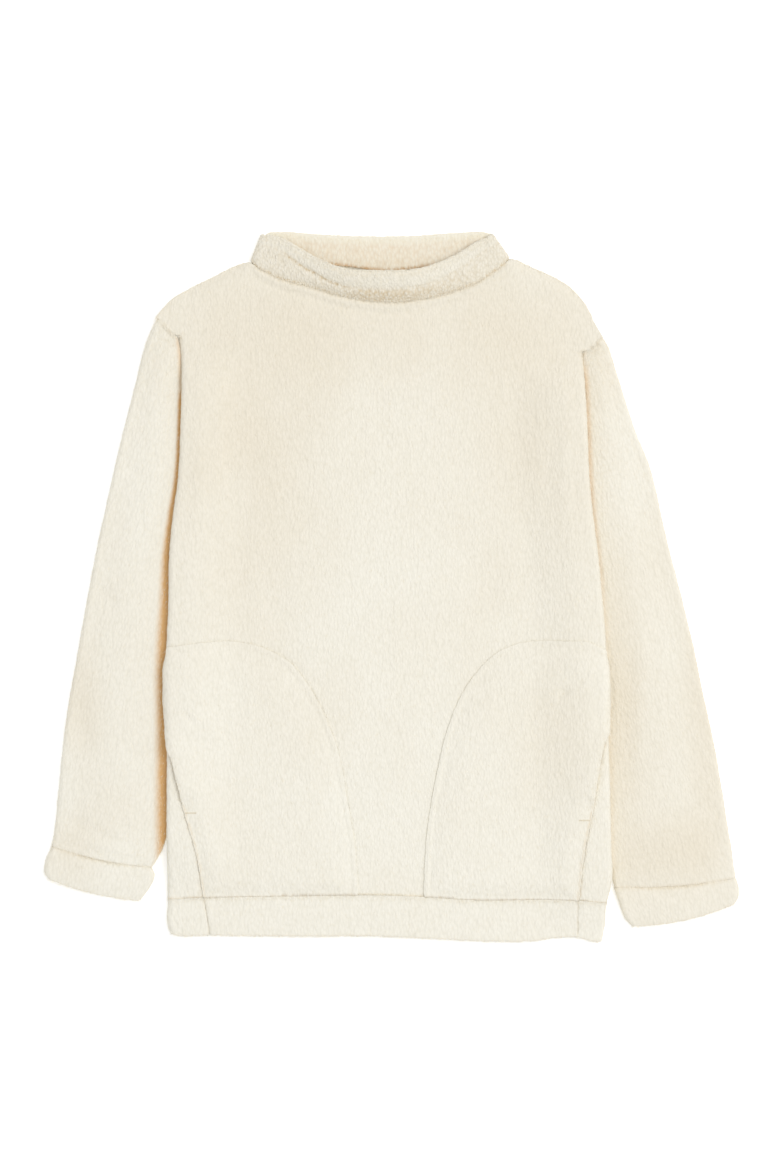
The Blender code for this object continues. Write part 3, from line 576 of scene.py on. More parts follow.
class Look:
    def __init__(self, name):
        self.made = bpy.data.materials.new(name)
        self.made.use_nodes = True
        self.tree = self.made.node_tree
        self.shader = self.tree.nodes["Principled BSDF"]

    def node(self, kind, settings, inputs, output=0):
        made = self.tree.nodes.new(kind)
        for key, value in settings.items():
            setattr(made, key, value)
        for key, value in inputs.items():
            self.feed(made.inputs[key] if isinstance(key, int) else self.named(made.inputs, key), value)
        socket = self.named(made.outputs, output) if isinstance(output, str) else made.outputs[output]
        return Channel(self, socket)

    def named(self, sockets, name):
        return [socket for socket in sockets if socket.name == name and socket.enabled][0]

    def feed(self, socket, value):
        if isinstance(value, Channel):
            self.tree.links.new(value.socket, socket)
        elif isinstance(value, tuple) and len(value) == 3 and socket.type == "RGBA":
            socket.default_value = (*value, 1)
        else:
            socket.default_value = value

    def vector(self, operation, first, second, output=0):
        return self.node("ShaderNodeVectorMath", {"operation": operation}, {0: first, 1: second}, output)

    def stretched(self, where, wide, long):    # sizes in millimetres across and along the nap
        return self.vector("MULTIPLY", where, (metre / wide, metre / long, metre / wide))

    def noise(self, where, wide, long, detail=2.0, roughness=0.5):
        return self.node("ShaderNodeTexNoise", {}, {"Vector": self.stretched(where, wide, long), "Scale": 1.0,
                                                    "Detail": detail, "Roughness": roughness})

    def tufts(self, where, wide, long):    # 0 on a tuft's middle, higher between tufts
        return self.node("ShaderNodeTexVoronoi", {"feature": "F1"},
                         {"Vector": self.stretched(where, wide, long), "Scale": 1.0})

    def spots(self, where, places):
        total = 0.0
        for (x, y), (wide, tall), tone in places:
            moved = self.vector("SUBTRACT", where, (x, y, 0))
            scaled = self.vector("MULTIPLY", moved, (0.5 / wide, 0.5 / tall, 0))
            far = self.vector("DOT_PRODUCT", scaled, scaled, "Value")
            total = (1 - far).clamped() ** 3 * tone + total
        return total

    def shade(self, **values):        # the shader's own sockets
        for key, value in values.items():
            self.feed(self.shader.inputs[key.replace("_", " ")], value)


fleece = {
    "light": (0.972, 0.938, 0.838),
    "dark": (0.88, 0.80, 0.655),
    "between": (0.875, 0.868, 0.835),    # share of the light left between tufts
    # painted shade colour, mixed in by each point's shade attribute
    "paintedShade": (0.80, 0.60, 0.36),          # in seams and under folds
    "tuft": (2.3, 4.8),                  # across and along the nap
    "strand": (1.5, 5.0), "clump": (13.0, 9.0), "patch": (60.0, 85.0), "sway": (13, 20, 0.003),
    "tuftTone": 0.66, "strandTone": 0.34, "clumpTone": 0.34, "fine": 0.27, "patchTone": 0.45, "tone": 0.30,
    "paler": 0.22, "palerFrom": 0.20, "palerOver": 0.45,    # towards the hem
    "fill": 0.75, "ragged": 1.4, "speckle": 0.0,    # how the shade in a seam follows the tufts and strands
    "bump": 0.85, "bumpDepth": 0.0015, "rough": 0.88, "shine": 0.12,
    "spots": (                           # warmer or paler parts: place, half sizes, tone
        ((-0.135, 0.15), (0.075, 0.17), 0.34), ((0.145, 0.17), (0.06, 0.15), 0.30),
        ((0.0, 0.255), (0.16, 0.05), 0.26), ((-0.02, 0.04), (0.07, 0.12), -0.12),
        ((0.16, -0.15), (0.05, 0.06), 0.24), ((0.02, -0.20), (0.08, 0.09), -0.08),
        ((-0.07, -0.13), (0.05, 0.05), 0.14),
    ),
}
even, middleTuft = 0.5, 0.45      # a noise's and a tuft's middle value


def fleeceLook(name, lean=0.0, change=None):
    values = {**fleece, **(change or {})}
    look = Look(name)
    here = look.node("ShaderNodeTexCoord", {}, {}, "Object")
    up = look.node("ShaderNodeSeparateXYZ", {}, {0: here}, "Y")
    napped = look.node("ShaderNodeVectorRotate", {"rotation_type": "Z_AXIS"}, {"Vector": here, "Angle": lean})
    swayWide, swayLong, swayReach = values["sway"]
    sway = (look.noise(napped, swayWide, swayLong, 1.0) - even) * swayReach
    swayed = look.vector("ADD", napped, look.node("ShaderNodeCombineXYZ", {}, {0: sway, 1: 0.0, 2: 0.0}))
    tuft, strand = look.tufts(swayed, *values["tuft"]), look.noise(swayed, *values["strand"], 3.0, 0.6)
    tuftOff, strandOff = tuft - middleTuft, strand - even
    clump = look.noise(swayed, *values["clump"], 2.0)
    patch = look.noise(napped, *values["patch"], 2.0)
    paler = ((values["palerFrom"] - up) / values["palerOver"]).clamped() * values["paler"]
    paler = paler - look.spots(here, values["spots"])
    tone = (values["tone"] + (patch - even) * values["patchTone"] - paler).clamped()
    # darker between tufts, strands and clumps: partly the pile's own tone, partly painted shade between the
    # tufts
    fine = (values["fine"] + tuftOff * values["tuftTone"] + strandOff * values["strandTone"]
            + (clump - even) * values["clumpTone"]).clamped()
    # painted shade: the shade attribute, broken up by tufts and strands, mixes the colour towards the warm
    # shade colour
    gap = look.node("ShaderNodeAttribute", {"attribute_name": "paintedShade"}, {}, "Fac")
    gap = (gap * (values["fill"] + tuftOff * values["ragged"] + strandOff * values["speckle"])).clamped()
    broad = tone.mixed(values["light"], values["dark"])
    colour = gap.mixed(fine.mixed(broad, look.vector("MULTIPLY", broad, values["between"])), values["paintedShade"])
    height = strand * 0.3 + clump * 0.15 - tuft * 0.42
    bump = look.node("ShaderNodeBump", {}, {"Height": height, "Strength": values["bump"],
                                            "Distance": values["bumpDepth"]})
    look.shade(Base_Color=colour, Roughness=(values["rough"] + strandOff * 0.16).clamped(), Normal=bump,
               Metallic=0.0, Sheen_Weight=0.22, Sheen_Roughness=0.45, Sheen_Tint=(1.0, 0.96, 0.88),
               Specular_IOR_Level=values["shine"])
    return look.made


bodyFleece = fleeceLook("fleece_body")
bandFleece = fleeceLook("fleece_bands", 0.0, {"tone": 0.26, "patchTone": 0.25})
# the collar front: coarser tufts, and a painted shade colour speckled by the strands
collarFleece = fleeceLook("fleece_collar", 0.0, {
    "tuft": (2.4, 3.6), "tuftTone": 0.85, "strandTone": 0.6, "bump": 1.0, "bumpDepth": 0.0023, "tone": 0.34,
    "fill": 1.0, "ragged": 2.2, "speckle": 3.0, "paintedShade": (0.70, 0.56, 0.36), "spots": ()})
# the collar's inside: a warmer cream, partly painted shade of the inside of the neck, and a strong orange
# painted shade colour
insideFleece = fleeceLook("fleece_inside", 0.0, {
    "light": (0.968, 0.943, 0.845), "dark": (0.925, 0.825, 0.635), "between": (0.93, 0.918, 0.872),
    "paintedShade": (0.64, 0.36, 0.14), "bump": 0.6, "spots": ()})


def fibreLook(name, light, dark):
    look = Look(name)
    tone = look.noise(look.node("ShaderNodeTexCoord", {}, {}, "Object"), 3.0, 5.0, 2.0) - even
    look.shade(Base_Color=(tone * 1.6 + 0.35).clamped().mixed(light, dark),
               Roughness=(0.85 + tone * 0.2).clamped(), Metallic=0.0, Sheen_Weight=0.2, Sheen_Roughness=0.45,
               Specular_IOR_Level=fleece["shine"])
    return look.made


fibreLooks = {
    "fleece": fibreLook("fibres_outside", fleece["light"], fleece["dark"]),
    # the inside's fibres are a warmer cream, partly painted shade of the inside of the neck
    "fleece_inside": fibreLook("fibres_inside", (0.95, 0.885, 0.735), (0.875, 0.765, 0.57)),
}
print("fleece materials made")


# Front and back
frontPanel = {
    "cut": (0.452, 0.626), "area": 0.2455,
    "seamDip": 0.5, "seamWidth": 7.0, "shoulderDip": 0.1, "seamShade": 0.25, "relief": 0,
    "neckRidge": 1.5, "ridge": (5.5, 2.6), "groove": (11.5, 2.2, 0.6),    # place below the collar, width
    "creases": (              # start, end, half width, depth; a ridge is below zero
        ((198, 196), (203, -20), 7, -0.7), ((-120, 40), (-96, -110), 26, 0.8), ((88, 60), (96, -60), 30, 0.7),
        ((-190, 205), (-186, 60), 12, -0.7), ((-40, 250), (-6, 120), 34, 0.6),
    ),
}
backPanel = {
    "cut": (0.5, 0.63), "area": 0.262,
    "seamDip": 0.2, "seamWidth": 6.0, "shoulderDip": 0.7, "seamShade": 0.4, "relief": 2, "lower": 0.15,
}
panels = {"openFrom": 262, "shoulderBulge": 1.2, "fuzz": 0.35, "seamsTo": -118, "shadeWidth": 3.0, "seed": 50}
rowsReach = (-306, 321, -232, 216)
collar = {
    "roll": 4.0, "rise": 13.0, "corner": 0.1, "bulge": 2.0, "round": (2.0, 6.0), "overhang": 0.5,
    "top": np.array((             # across, height in front, height behind
        (-129, 343, 343.5), (-107, 338, 344.5), (-83, 324, 343), (-53, 310, 341), (-8, 306, 340),
        (29, 308.5, 341), (57, 318.5, 343), (85, 335, 344.5), (101, 343, 344.5))),
    "seamDip": 2.2, "seamWidth": 8.0, "seamShade": 0.6, "sideDip": 1.0, "sideWidth": 3.0, "shadeWidth": 3.0,
    "insideDip": (0.8, 4), "insideRelief": {1: 0.5, -1: 0.8}, "insideShade": {1: 0.5, -1: 0.9},
    # the rolled and stitched edge: its place below the top, more in the middle, its width, depth and span
    "stitched": {"below": 9, "middle": 8, "width": 2.6, "depth": 0.8, "span": (0.04, 0.15, 0.86, 0.97)},
    "crease": (0.1, 0.2, 0.26, 0.36), "creaseShade": (0.08, 0.14, 0.3, 0.42),
    "cut": (0.262, 0.035), "area": {1: 0.0078, -1: 0.0073}, "hair": {1: 1.6, -1: 0.8},
    "seed": {1: 81, -1: 82},
}


def pocketsCover(points):
    return within(pocketOutline(-1)[0], points) | within(pocketOutline(1)[0], points)


def within(outline, points):
    inside = np.zeros(len(points), bool)
    for (x1, y1), (x2, y2) in zip(outline, np.roll(outline, -1, 0)):
        crosses = (y1 > points[:, 1]) != (y2 > points[:, 1])
        inside ^= crosses & (points[:, 0] < x1 + (points[:, 1] - y1) / (y2 - y1 + (y1 == y2)) * (x2 - x1))
    return inside


def makePanel(name, node, sheet, fillers, values):
    edges = panelEdges(sheet)
    side, hole, shoulder = edges["side"], edges["hole"], edges["shoulder"]
    outline = (edges["hem"][:-1] + side[1] + hole[1] + shoulder[1] + edges["neck"]
               + shoulder[-1] + hole[-1] + side[-1][:0:-1])
    fine, faces = cutCloth(outline, fillers, [cloth["across"] * cloth["clear"]] * len(fillers))
    middle, normal = layPanel(fine, sheet)
    lowSides = [[point for point in side[k] if point[1] < panels["seamsTo"]] for k in (-1, 1)]
    away = distanceTo([edges["hem"], edges["neck"]] + lowSides, fine)
    holeAway = distanceTo(list(hole.values()), fine)
    shoulderAway = np.minimum(holeAway, distanceTo(list(shoulder.values()), fine))
    rag = waves("panelRag", fine[:, 0], fine[:, 1])
    dip = np.maximum(values["seamDip"] * fade(away + rag, values["seamWidth"]),
                     values["shoulderDip"] * fade(shoulderAway + rag, values["seamWidth"]))
    relief = pileRelief(fine[:, 0], fine[:, 1], values["relief"])
    relief = relief + neckRelief(fine) if sheet > 0 else relief - values["lower"]
    onShoulder = np.zeros(len(outline))
    for k, (a, up) in enumerate(outline):
        beside = a < neckSides[-1][0] - 4 or a > neckSides[1][0] + 4
        atTop = beside and up > panels["openFrom"] and abs(float(shoulderHeight(a)) - up) < 0.4
        onShoulder[k] = panels["shoulderBulge"] * atTop
    outer, (verts, closed, fringe) = closePattern(
        outline, fine, faces, (middle, normal), cloth["wall"] / 2 + relief - dip,
        ([insideRows(sheet)], [cloth["insideClear"]]), onShoulder, panels["fuzz"], sheet,
        lambda points: layPanel(points, sheet))
    # painted shade along the hem, neck and lower side seams
    paintedShade = values["seamShade"] * fade(away + rag, panels["shadeWidth"], 1.5)
    flush = np.flatnonzero(holeAway[:len(outline)] < 1.2 * step)
    made = makePiece(name, node, verts, closed, bodyFleece, "fleece", paintedShade, sheet, flush)
    shows = normal[:, 2] > cloth["facesUp"]
    if sheet > 0:                 # more hair over the armholes and the tops of the gaps beside the sleeves
        shows &= ~pocketsCover(fine)
        corner = np.minimum(*(np.linalg.norm(middle[:, :2] - place, axis=1) for place in body["underarms"]))
        near = (corner < body["cornerReach"]) | (holeAway < body["holeReach"])
        tops = [np.repeat(part[near], 3, 0) for part in (outer, normal)]
        fringe = [np.concatenate((one, two)) for one, two in zip(fringe, tops)]
    edgeAway = np.minimum(away, shoulderAway)
    loose = makeFibres(name + "Fibres", outer[shows], normal[shows], (0, -1, 0), edgeAway[shows], "fleece",
                       panels["seed"] + sheet, fringe if sheet > 0 else None)


def neckRelief(points):
    across, up = points[:, 0], points[:, 1]
    below = lookUp(body["neck"][1], across) - up
    (ridgeAt, ridgeWide), (grooveAt, grooveWide, share) = frontPanel["ridge"], frontPanel["groove"]
    ridge = np.exp(-((below - ridgeAt) / ridgeWide) ** 2)
    ridge = ridge - share * np.exp(-((below - grooveAt) / grooveWide) ** 2)
    inNeck = (across > neckSides[-1][0] + 4) & (across < neckSides[1][0] - 4)
    return frontPanel["neckRidge"] * ridge * inNeck - creaseAt(across, up, frontPanel["creases"])


def pastFold(rows, least=0.5):    # only the points that lie beyond the start of a side fold
    side = np.where(rows[:, 0] < 0, -1, 1)
    start = np.where(side < 0, foldStart(rows[:, 1], -1), foldStart(rows[:, 1], 1))
    return rows[(side * (rows[:, 0] - start) > least) & (np.abs(start) < farOff)]


def twoSides(low, tops, reaches, across, along):
    return np.concatenate([fineRows(low, top, *reach, across, along) for top, reach in zip(tops, reaches)])


pockets = {
    "innerEdge": {
        -1: ((-33, -299), (-36, -255), (-43.5, -210), (-53, -160), (-68, -121), (-85.5, -91), (-99, -75)),
        1: ((32, -299), (33.5, -267), (37, -228), (44.5, -185), (53, -148), (65.5, -113), (80.5, -88))},
    "topEdge": {
        -1: ((-112, -66.5), (-126, -60), (-142, -56), (-159, -54), (-180, -55), (-197, -57)),
        1: ((89, -78), (98, -69), (107, -63), (118, -58), (138, -54), (170, -54), (192, -55))},
    "topSide": {-1: -60, 1: -62},
    "side": np.array((            # height, place past the start of the fold
        (-175, -0.5), (-160, 1.4), (-147, 2.5), (-134, 3.4), (-115, 4.6), (-93, 5.5), (-75, 4.4),
        (-60, 2.6))),
    "above": 0.3, "loose": 1.6,
    "mouth": (-219, -132), "mouthFade": 25, "mouthDepth": 30.0, "mouthDip": (0.9, 5),
    "edgeDip": 4.2, "edgeWidth": 34.0, "hemDip": 4.8, "hemWidth": 20.0, "bulge": 0.9, "fuzz": 0.35,
    "thinnest": 0.5, "lip": (0.8, 2.2, 1.5), "seamShade": 0.34, "shadeWidth": 2.6, "seed": 60,
    "cut": (0.192, 0.25), "area": 0.0395,
    "creases": {
        -1: (((-205, -120), (-150, -225), 22, 0.9), ((-60, -150), (-44, -270), 12, -0.5),
             ((-204, -119), (-192, -137), 5, 1.3)),
        1: (((176, -70), (168, -150), 20, 0.8), ((150, -215), (120, -285), 24, 0.7),
            ((174, -99), (162, -111), 4.5, 1.6)),
    },
}


def pocketOutline(side):
    innerEdge, topUp, sideTable = pockets["innerEdge"][side], pockets["topSide"][side], pockets["side"]
    low = float(hemHeight(innerEdge[0][0], seamColumn)) + cloth["seam"] / 2
    topCorner = (float(foldStart(topUp, side)) + side * sideTable[-1, 1], topUp)
    curve = [(innerEdge[0][0], low), *innerEdge[1:], *pockets["topEdge"][side], topCorner]
    sewnEdge = [tuple(point) for point in smoothLine(curve, step)]
    bottom = seamCorner(side, seamColumn)[1] + cloth["seam"] / 2
    heights = spread(topUp, bottom, step * cloth["sideStep"])[1:]
    atSide = foldStart(heights, side) + side * lookUp(sideTable, heights)
    atSide = np.where(heights < sideTable[0, 0], side * farOff, atSide)
    own = np.array([float(seamEdge(up, side, 1)) for up in heights])
    sideEdge = list(zip((side * np.minimum(side * own, side * atSide)).tolist(), heights.tolist()))
    hemAcross = spread(sideEdge[-1][0], sewnEdge[0][0], step)[1:-1]
    hemEdge = [(float(a), float(hemHeight(a, seamColumn)) + cloth["seam"] / 2) for a in hemAcross]
    outline = sewnEdge + sideEdge + hemEdge
    return np.array(outline[::-1] if side > 0 else outline), sewnEdge, sideEdge, hemEdge


flatRows = fineRows(*rowsReach, cloth["hiddenAcross"], cloth["hiddenAlong"])
leftFold, rightFold = foldStart(flatRows[:, 1], -1), foldStart(flatRows[:, 1], 1)
flatRows = flatRows[(flatRows[:, 0] > leftFold) & (flatRows[:, 0] < rightFold)]
turnedRows = pastFold(twoSides(-306, (-96, -96), ((-272, -204), (196, 256)), *dense))
sideRows = pastFold(twoSides(-96, (244, 230), ((-232, -196), (178, 222)), 1.8, cloth["along"]))
makePanel("frontPanel", "front_panel", 1, [fineRows(*rowsReach, *dense)], frontPanel)
makePanel("backPanel", "back_panel", -1, [flatRows, turnedRows, sideRows], backPanel)
print("panels made")


# Pockets, sewn over the front
def makePocket(name, node, side):
    outline, sewnEdge, sideEdge, hemEdge = pocketOutline(side)
    rows = fineRows(-306, -50, outline[:, 0].min(), outline[:, 0].max(), *dense)
    fine, faces = cutCloth(outline, [rows], [cloth["across"] * cloth["clear"]])
    (mouthLow, mouthTop), mouthFade = pockets["mouth"], pockets["mouthFade"]

    def overPanel(points):
        middle, normal = layPanel(points, 1)
        toSeam = np.abs(np.array([float(seamPlace(up, side)) for up in points[:, 1]]) - points[:, 0])
        opening = band(points[:, 1], mouthLow, mouthLow + mouthFade, mouthTop - mouthFade, mouthTop)
        loose = pockets["loose"] * opening * (1 - ease(toSeam, 0, pockets["mouthDepth"]))
        return middle + normal * (cloth["wall"] + pockets["above"] + loose)[:, None], normal

    middle, normal = overPanel(fine)
    sewn = [point for point in sideEdge if point[1] < mouthLow + 4]
    mouth = [point for point in sideEdge if point[1] >= mouthLow + 4]
    edgeAway, hemAway, sewnAway, mouthAway = (
        distanceTo([line], fine) for line in (sewnEdge, hemEdge, sewn, mouth))
    rag = waves("pocketRag", fine[:, 0], fine[:, 1])
    mouthDip, mouthWidth = pockets["mouthDip"]
    dip = np.maximum.reduce((pockets["edgeDip"] * fade(edgeAway + rag, pockets["edgeWidth"]),
                             pockets["hemDip"] * fade(hemAway + rag, pockets["hemWidth"]),
                             pockets["edgeDip"] * fade(sewnAway + rag, pockets["hemWidth"]),
                             mouthDip * fade(mouthAway + rag, mouthWidth)))
    relief = pileRelief(fine[:, 0], fine[:, 1]) - creaseAt(fine[:, 0], fine[:, 1], pockets["creases"][side])
    lip, lipAt, lipWide = pockets["lip"]
    height = np.maximum(cloth["wall"] / 2 + relief - dip, pockets["thinnest"] - cloth["wall"] / 2)
    height = height + lip * np.exp(-((edgeAway - lipAt) / lipWide) ** 2)
    count = len(outline)
    hemHeights = np.array([float(hemHeight(a, seamColumn)) for a in fine[:count, 0]])
    inside = [(a, up) for a, up in insideRows(1) if side * a > 20]
    outer, (verts, closed, fringe) = closePattern(
        outline, fine, faces, (middle, normal), height, ([inside], [cloth["insideClear"]]),
        pockets["bulge"] * (fine[:count, 1] > hemHeights + 2), pockets["fuzz"], 1, overPanel)
    # painted shade along the pocket's hem seam and sewn side edge
    paintedShade = pockets["seamShade"] * fade(np.minimum(hemAway * 1.6, sewnAway) + rag, pockets["shadeWidth"], 1.5)
    made = makePiece(name, node, verts, closed, bodyFleece, "fleece", paintedShade)
    loose = makeFibres(name + "Fibres", outer, normal, (0, -1, 0), np.minimum(sewnAway, mouthAway), "fleece",
                       pockets["seed"] + side)


makePocket("pocketLeft", "pocket_left", -1)
makePocket("pocketRight", "pocket_right", 1)
print("pockets made")


# Hem bands, doubled at the bottom
hemBands = {
    "seamDip": -0.8, "seamWidth": 7.0, "sideDip": 0.7, "sideWidth": 4, "crown": 0.2, "bulge": 1.4,
    "fuzz": 0.4, "seamShade": 0.08, "shadeWidth": 2.6, "backLower": 0.6, "insideUps": (-332, -322, -312),
    "foldUps": (-334, -322, -312), "foldClear": 0.7, "relief": {1: 1, -1: 3},
    "spacing": {1: dense, -1: (1.7, 3.0)},
    "cut": {1: (0.366, 0.0385), -1: (0.53, 0.0385)}, "area": {1: 0.0138, -1: 0.019}, "seed": 70,
}


def makeHemBand(name, node, sheet):
    bottom = hemLine(sheet, bottomColumn, step)
    top = [(a, up - cloth["seam"] / 2) for a, up in hemLine(sheet, seamColumn, step)]
    ends = {}
    for side, end in ((1, -1), (-1, 0)):
        heights = spread(bottom[end][1], top[end][1], step)[1:-1]
        ends[side] = [(float(seamEdge(up, side, sheet)), float(up)) for up in heights]
    outline = bottom + ends[1] + top[::-1] + ends[-1][::-1]
    left, right = min(a for a, _ in outline), max(a for a, _ in outline)
    spacing = hemBands["spacing"][sheet]
    pileRows = fineRows(-346, -298, left, right, *spacing)
    fine, faces = cutCloth(outline, [pileRows], [spacing[0] * cloth["clear"]])
    folds = [point for side in (-1, 1) for up in hemBands["foldUps"] for point in overFold(up, side)]
    rows = [(a, up) for up in hemBands["insideUps"]
            for a in spread(float(foldStart(up, -1)) + 6, float(foldStart(up, 1)) - 6, 12)]
    middle, normal = layPanel(fine, sheet)
    rag = waves("rag", fine[:, 0], fine[:, 1])
    topAway, bottomAway, sideAway = (
        distanceTo(lines, fine) for lines in ([top], [bottom], [ends[1], ends[-1]]))
    dip = (hemBands["seamDip"] * fade(topAway + rag, hemBands["seamWidth"])
           + hemBands["sideDip"] * fade(sideAway + rag, hemBands["sideWidth"]))
    crown = hemBands["crown"] * np.sin(math.pi * topAway / (topAway + bottomAway))
    relief = pileRelief(fine[:, 0], fine[:, 1], hemBands["relief"][sheet]) + crown
    relief = relief - (hemBands["backLower"] if sheet < 0 else 0)
    onBottom = np.zeros(len(outline))
    onBottom[1:len(bottom) - 1] = hemBands["bulge"]
    outer, (verts, closed, fringe) = closePattern(
        outline, fine, faces, (middle, normal), cloth["wall"] / 2 + relief - dip,
        ([rows, folds], [cloth["insideClear"], hemBands["foldClear"]]), onBottom, hemBands["fuzz"], sheet,
        lambda points: layPanel(points, sheet))
    # painted shade along the band's top seam and its side ends
    paintedShade = hemBands["seamShade"] * fade(np.minimum(topAway, sideAway) + rag, hemBands["shadeWidth"], 1.5)
    made = makePiece(name, node, verts, closed, bandFleece, "fleece", paintedShade, sheet)
    shows = normal[:, 2] > cloth["facesUp"]
    loose = makeFibres(name + "Fibres", outer[shows], normal[shows], (0, -1, 0),
                       np.minimum(topAway, bottomAway)[shows], "fleece", hemBands["seed"] + sheet, fringe)


makeHemBand("hemFront", "hem_front", 1)
makeHemBand("hemBack", "hem_back", -1)
print("hem bands made")


# Collar: two doubled pieces joined at the sides
def layCollar(share, rise, sheet):
    flat = np.clip(share, 0, 1)
    roll = collar["roll"]
    inset = cloth["collarWall"] / 2 + roll
    (lowLeft, topLeft), (lowRight, topRight) = neckSides[-1], neckSides[1]
    low = lowLeft + inset + flat * (lowRight - lowLeft - 2 * inset)
    top = topLeft + inset + flat * (topRight - topLeft - 2 * inset)
    turn = np.maximum(np.maximum(-share, share - 1), 0) * neckWidth / roll
    outward = roll * np.sin(turn) * np.where(share < 0, -1, 1)
    ownSeam = lookUp(body["neck"][sheet], low) + cloth["seam"] / 2
    sharedSeam = lookUp(body["neck"][-1], low + outward) + collar["corner"]
    seam = ownSeam + (sharedSeam - ownSeam) * np.sin(turn)
    ownEdge, sharedEdge = (lookUp(collar["top"], top, column) for column in (1 if sheet > 0 else 2, 2))
    down, over = collar["round"]
    edge = ownEdge + (sharedEdge - ownEdge) * np.sin(turn)
    edge = edge - down * (1 - np.minimum(flat, 1 - flat) * neckWidth / over).clip(0) ** 2
    z = inset + sheet * roll * np.cos(turn)
    if sheet > 0:
        stand = np.sin(math.pi * flat) ** 1.4 * ease(rise, -0.35, 1) * ease(rise, -0.2, 0.3)
        z = z + collar["rise"] * stand
    return np.stack((low + (top - low) * rise + outward, seam + (edge - seam) * rise, z), -1)


def gridPattern(across, along):    # the outline's points come first
    columns, rows = len(across), len(along)
    index = np.arange(columns * rows).reshape(rows, columns)
    loop = np.concatenate((index[0, :-1], index[:-1, -1], index[-1, :0:-1], index[:0:-1, 0]))
    order = np.concatenate((loop, index[1:-1, 1:-1].ravel()))
    renamed = np.empty(columns * rows, int)
    renamed[order] = np.arange(columns * rows)
    a, b = np.meshgrid(across, along)
    quads = np.stack((index[:-1, :-1], index[:-1, 1:], index[1:, 1:], index[1:, :-1]), -1).reshape(-1, 4)
    return np.stack((a.ravel(), b.ravel()), -1)[order], renamed[quads], len(loop)


def makeCollar(name, node, sheet, look, slotName):
    turned = np.linspace(0, (math.pi / 2 * collar["roll"] - cloth["seam"] / 2) / neckWidth, 5)[1:]
    across = np.concatenate((-turned[::-1], np.linspace(0, 1, round(240 / cloth["across"])), 1 + turned))
    points, faces, count = gridPattern(across, np.linspace(0, 1, 24))
    share, rise = points[:, 0], points[:, 1]
    alongAcross = layCollar(share + 0.0002, rise, sheet) - layCollar(share - 0.0002, rise, sheet)
    alongRise = layCollar(share, rise + 0.002, sheet) - layCollar(share, rise - 0.002, sheet)
    middle, cross = layCollar(share, rise, sheet), sheet * np.cross(alongAcross, alongRise)
    normal = cross / np.linalg.norm(cross, axis=1)[:, None]
    tall = np.linalg.norm(layCollar(share, 1 + 0 * rise, sheet) - layCollar(share, 0 * rise, sheet), axis=1)
    u, seamAway = share * neckWidth, rise * tall
    rag = waves("rag", u, seamAway)
    sideAway = np.minimum(share - across[0], across[-1] - share) * neckWidth
    dip = np.maximum(collar["seamDip"] * fade(seamAway + rag, collar["seamWidth"]),
                     collar["sideDip"] * fade(sideAway + rag, collar["sideWidth"]))
    relief = pileRelief(u, seamAway, 5 if sheet > 0 else 6)
    # painted shade along the neck seam
    paintedShade = collar["seamShade"] * fade(seamAway + rag, collar["shadeWidth"], 1.3)
    if sheet > 0:                 # the top edge is rolled and stitched under, with a crease at the left
        middleOf, line = np.sin(math.pi * np.clip(share, 0, 1)), collar["stitched"]
        under = tall - seamAway - line["below"] - line["middle"] * middleOf
        depth = line["depth"] * (1 + band(share, *collar["crease"])) * band(share, *line["span"])
        relief = relief - depth * np.exp(-(under / line["width"]) ** 2)
        # painted shade: the band below the stitched line is darker, most in the middle and less at the
        # crease, and a darker line follows the stitched line, strongest at the crease
        creased = band(share, *collar["creaseShade"])
        above = (0.1 + 0.3 * middleOf ** 2) * ease(under, -1, 3) * (1 - 0.5 * creased)
        inLine = (0.2 + 0.5 * creased) * fade(np.abs(under + rag), 2.4, 1.3)
        paintedShade = np.maximum.reduce((paintedShade, above, inLine))
    outer = middle + normal * (cloth["collarWall"] / 2 + relief * 1.1 - dip)[:, None]
    insideRelief = pileRelief(u + 50, seamAway + 20, 9) * collar["insideRelief"][sheet]
    insideDip = collar["insideDip"][0] * fade(seamAway + rag, collar["insideDip"][1])
    inner = middle - normal * (cloth["collarWall"] / 2 + insideRelief - insideDip)[:, None]
    onTop = (rise[:count] > 0.999) & (share[:count] > across[0]) & (share[:count] < across[-1])
    onSeam = (rise[:count] < 0.001) & (share[:count] > 0) & (share[:count] < 1) & (sheet > 0)
    bulge = collar["bulge"] * onTop + collar["overhang"] * onSeam
    fuzz = (0.45 * onTop + 0.7 * onSeam) * waves("edge", u[:count], seamAway[:count])
    verts, closed, fringe = closeSheet(outer, faces, inner, faces, middle[:count], normal[:count],
                                       cloth["collarWall"], bulge, fuzz, sheet)
    # painted shade on the inner face: strong near the neck seam, faint over all of it but the top edge
    insidePaintedShade = np.maximum(collar["insideShade"][sheet] * fade(seamAway + rag, 5, 1.3),
                            0.17 * ease(tall - seamAway, 2.5, 9))
    made = makePiece(name, node, verts, closed, look, slotName, np.concatenate((paintedShade, insidePaintedShade)), sheet)
    away = np.minimum(seamAway, tall - seamAway)
    shown, out = outer, normal
    if sheet < 0:                 # the back one shows its inside, and its edge's hair leans up
        shown, out, fringe = inner, -normal, (fringe[0], fringe[1] * (1, 1, -1))
    loose = makeFibres(name + "Fibres", shown, out, (0, -1, 0), away, slotName, collar["seed"][sheet], fringe,
                       collar["hair"][sheet])


makeCollar("collarFront", "collar_front", 1, collarFleece, "fleece")
makeCollar("collarBack", "collar_back", -1, insideFleece, "fleece_inside")
print("collar made")

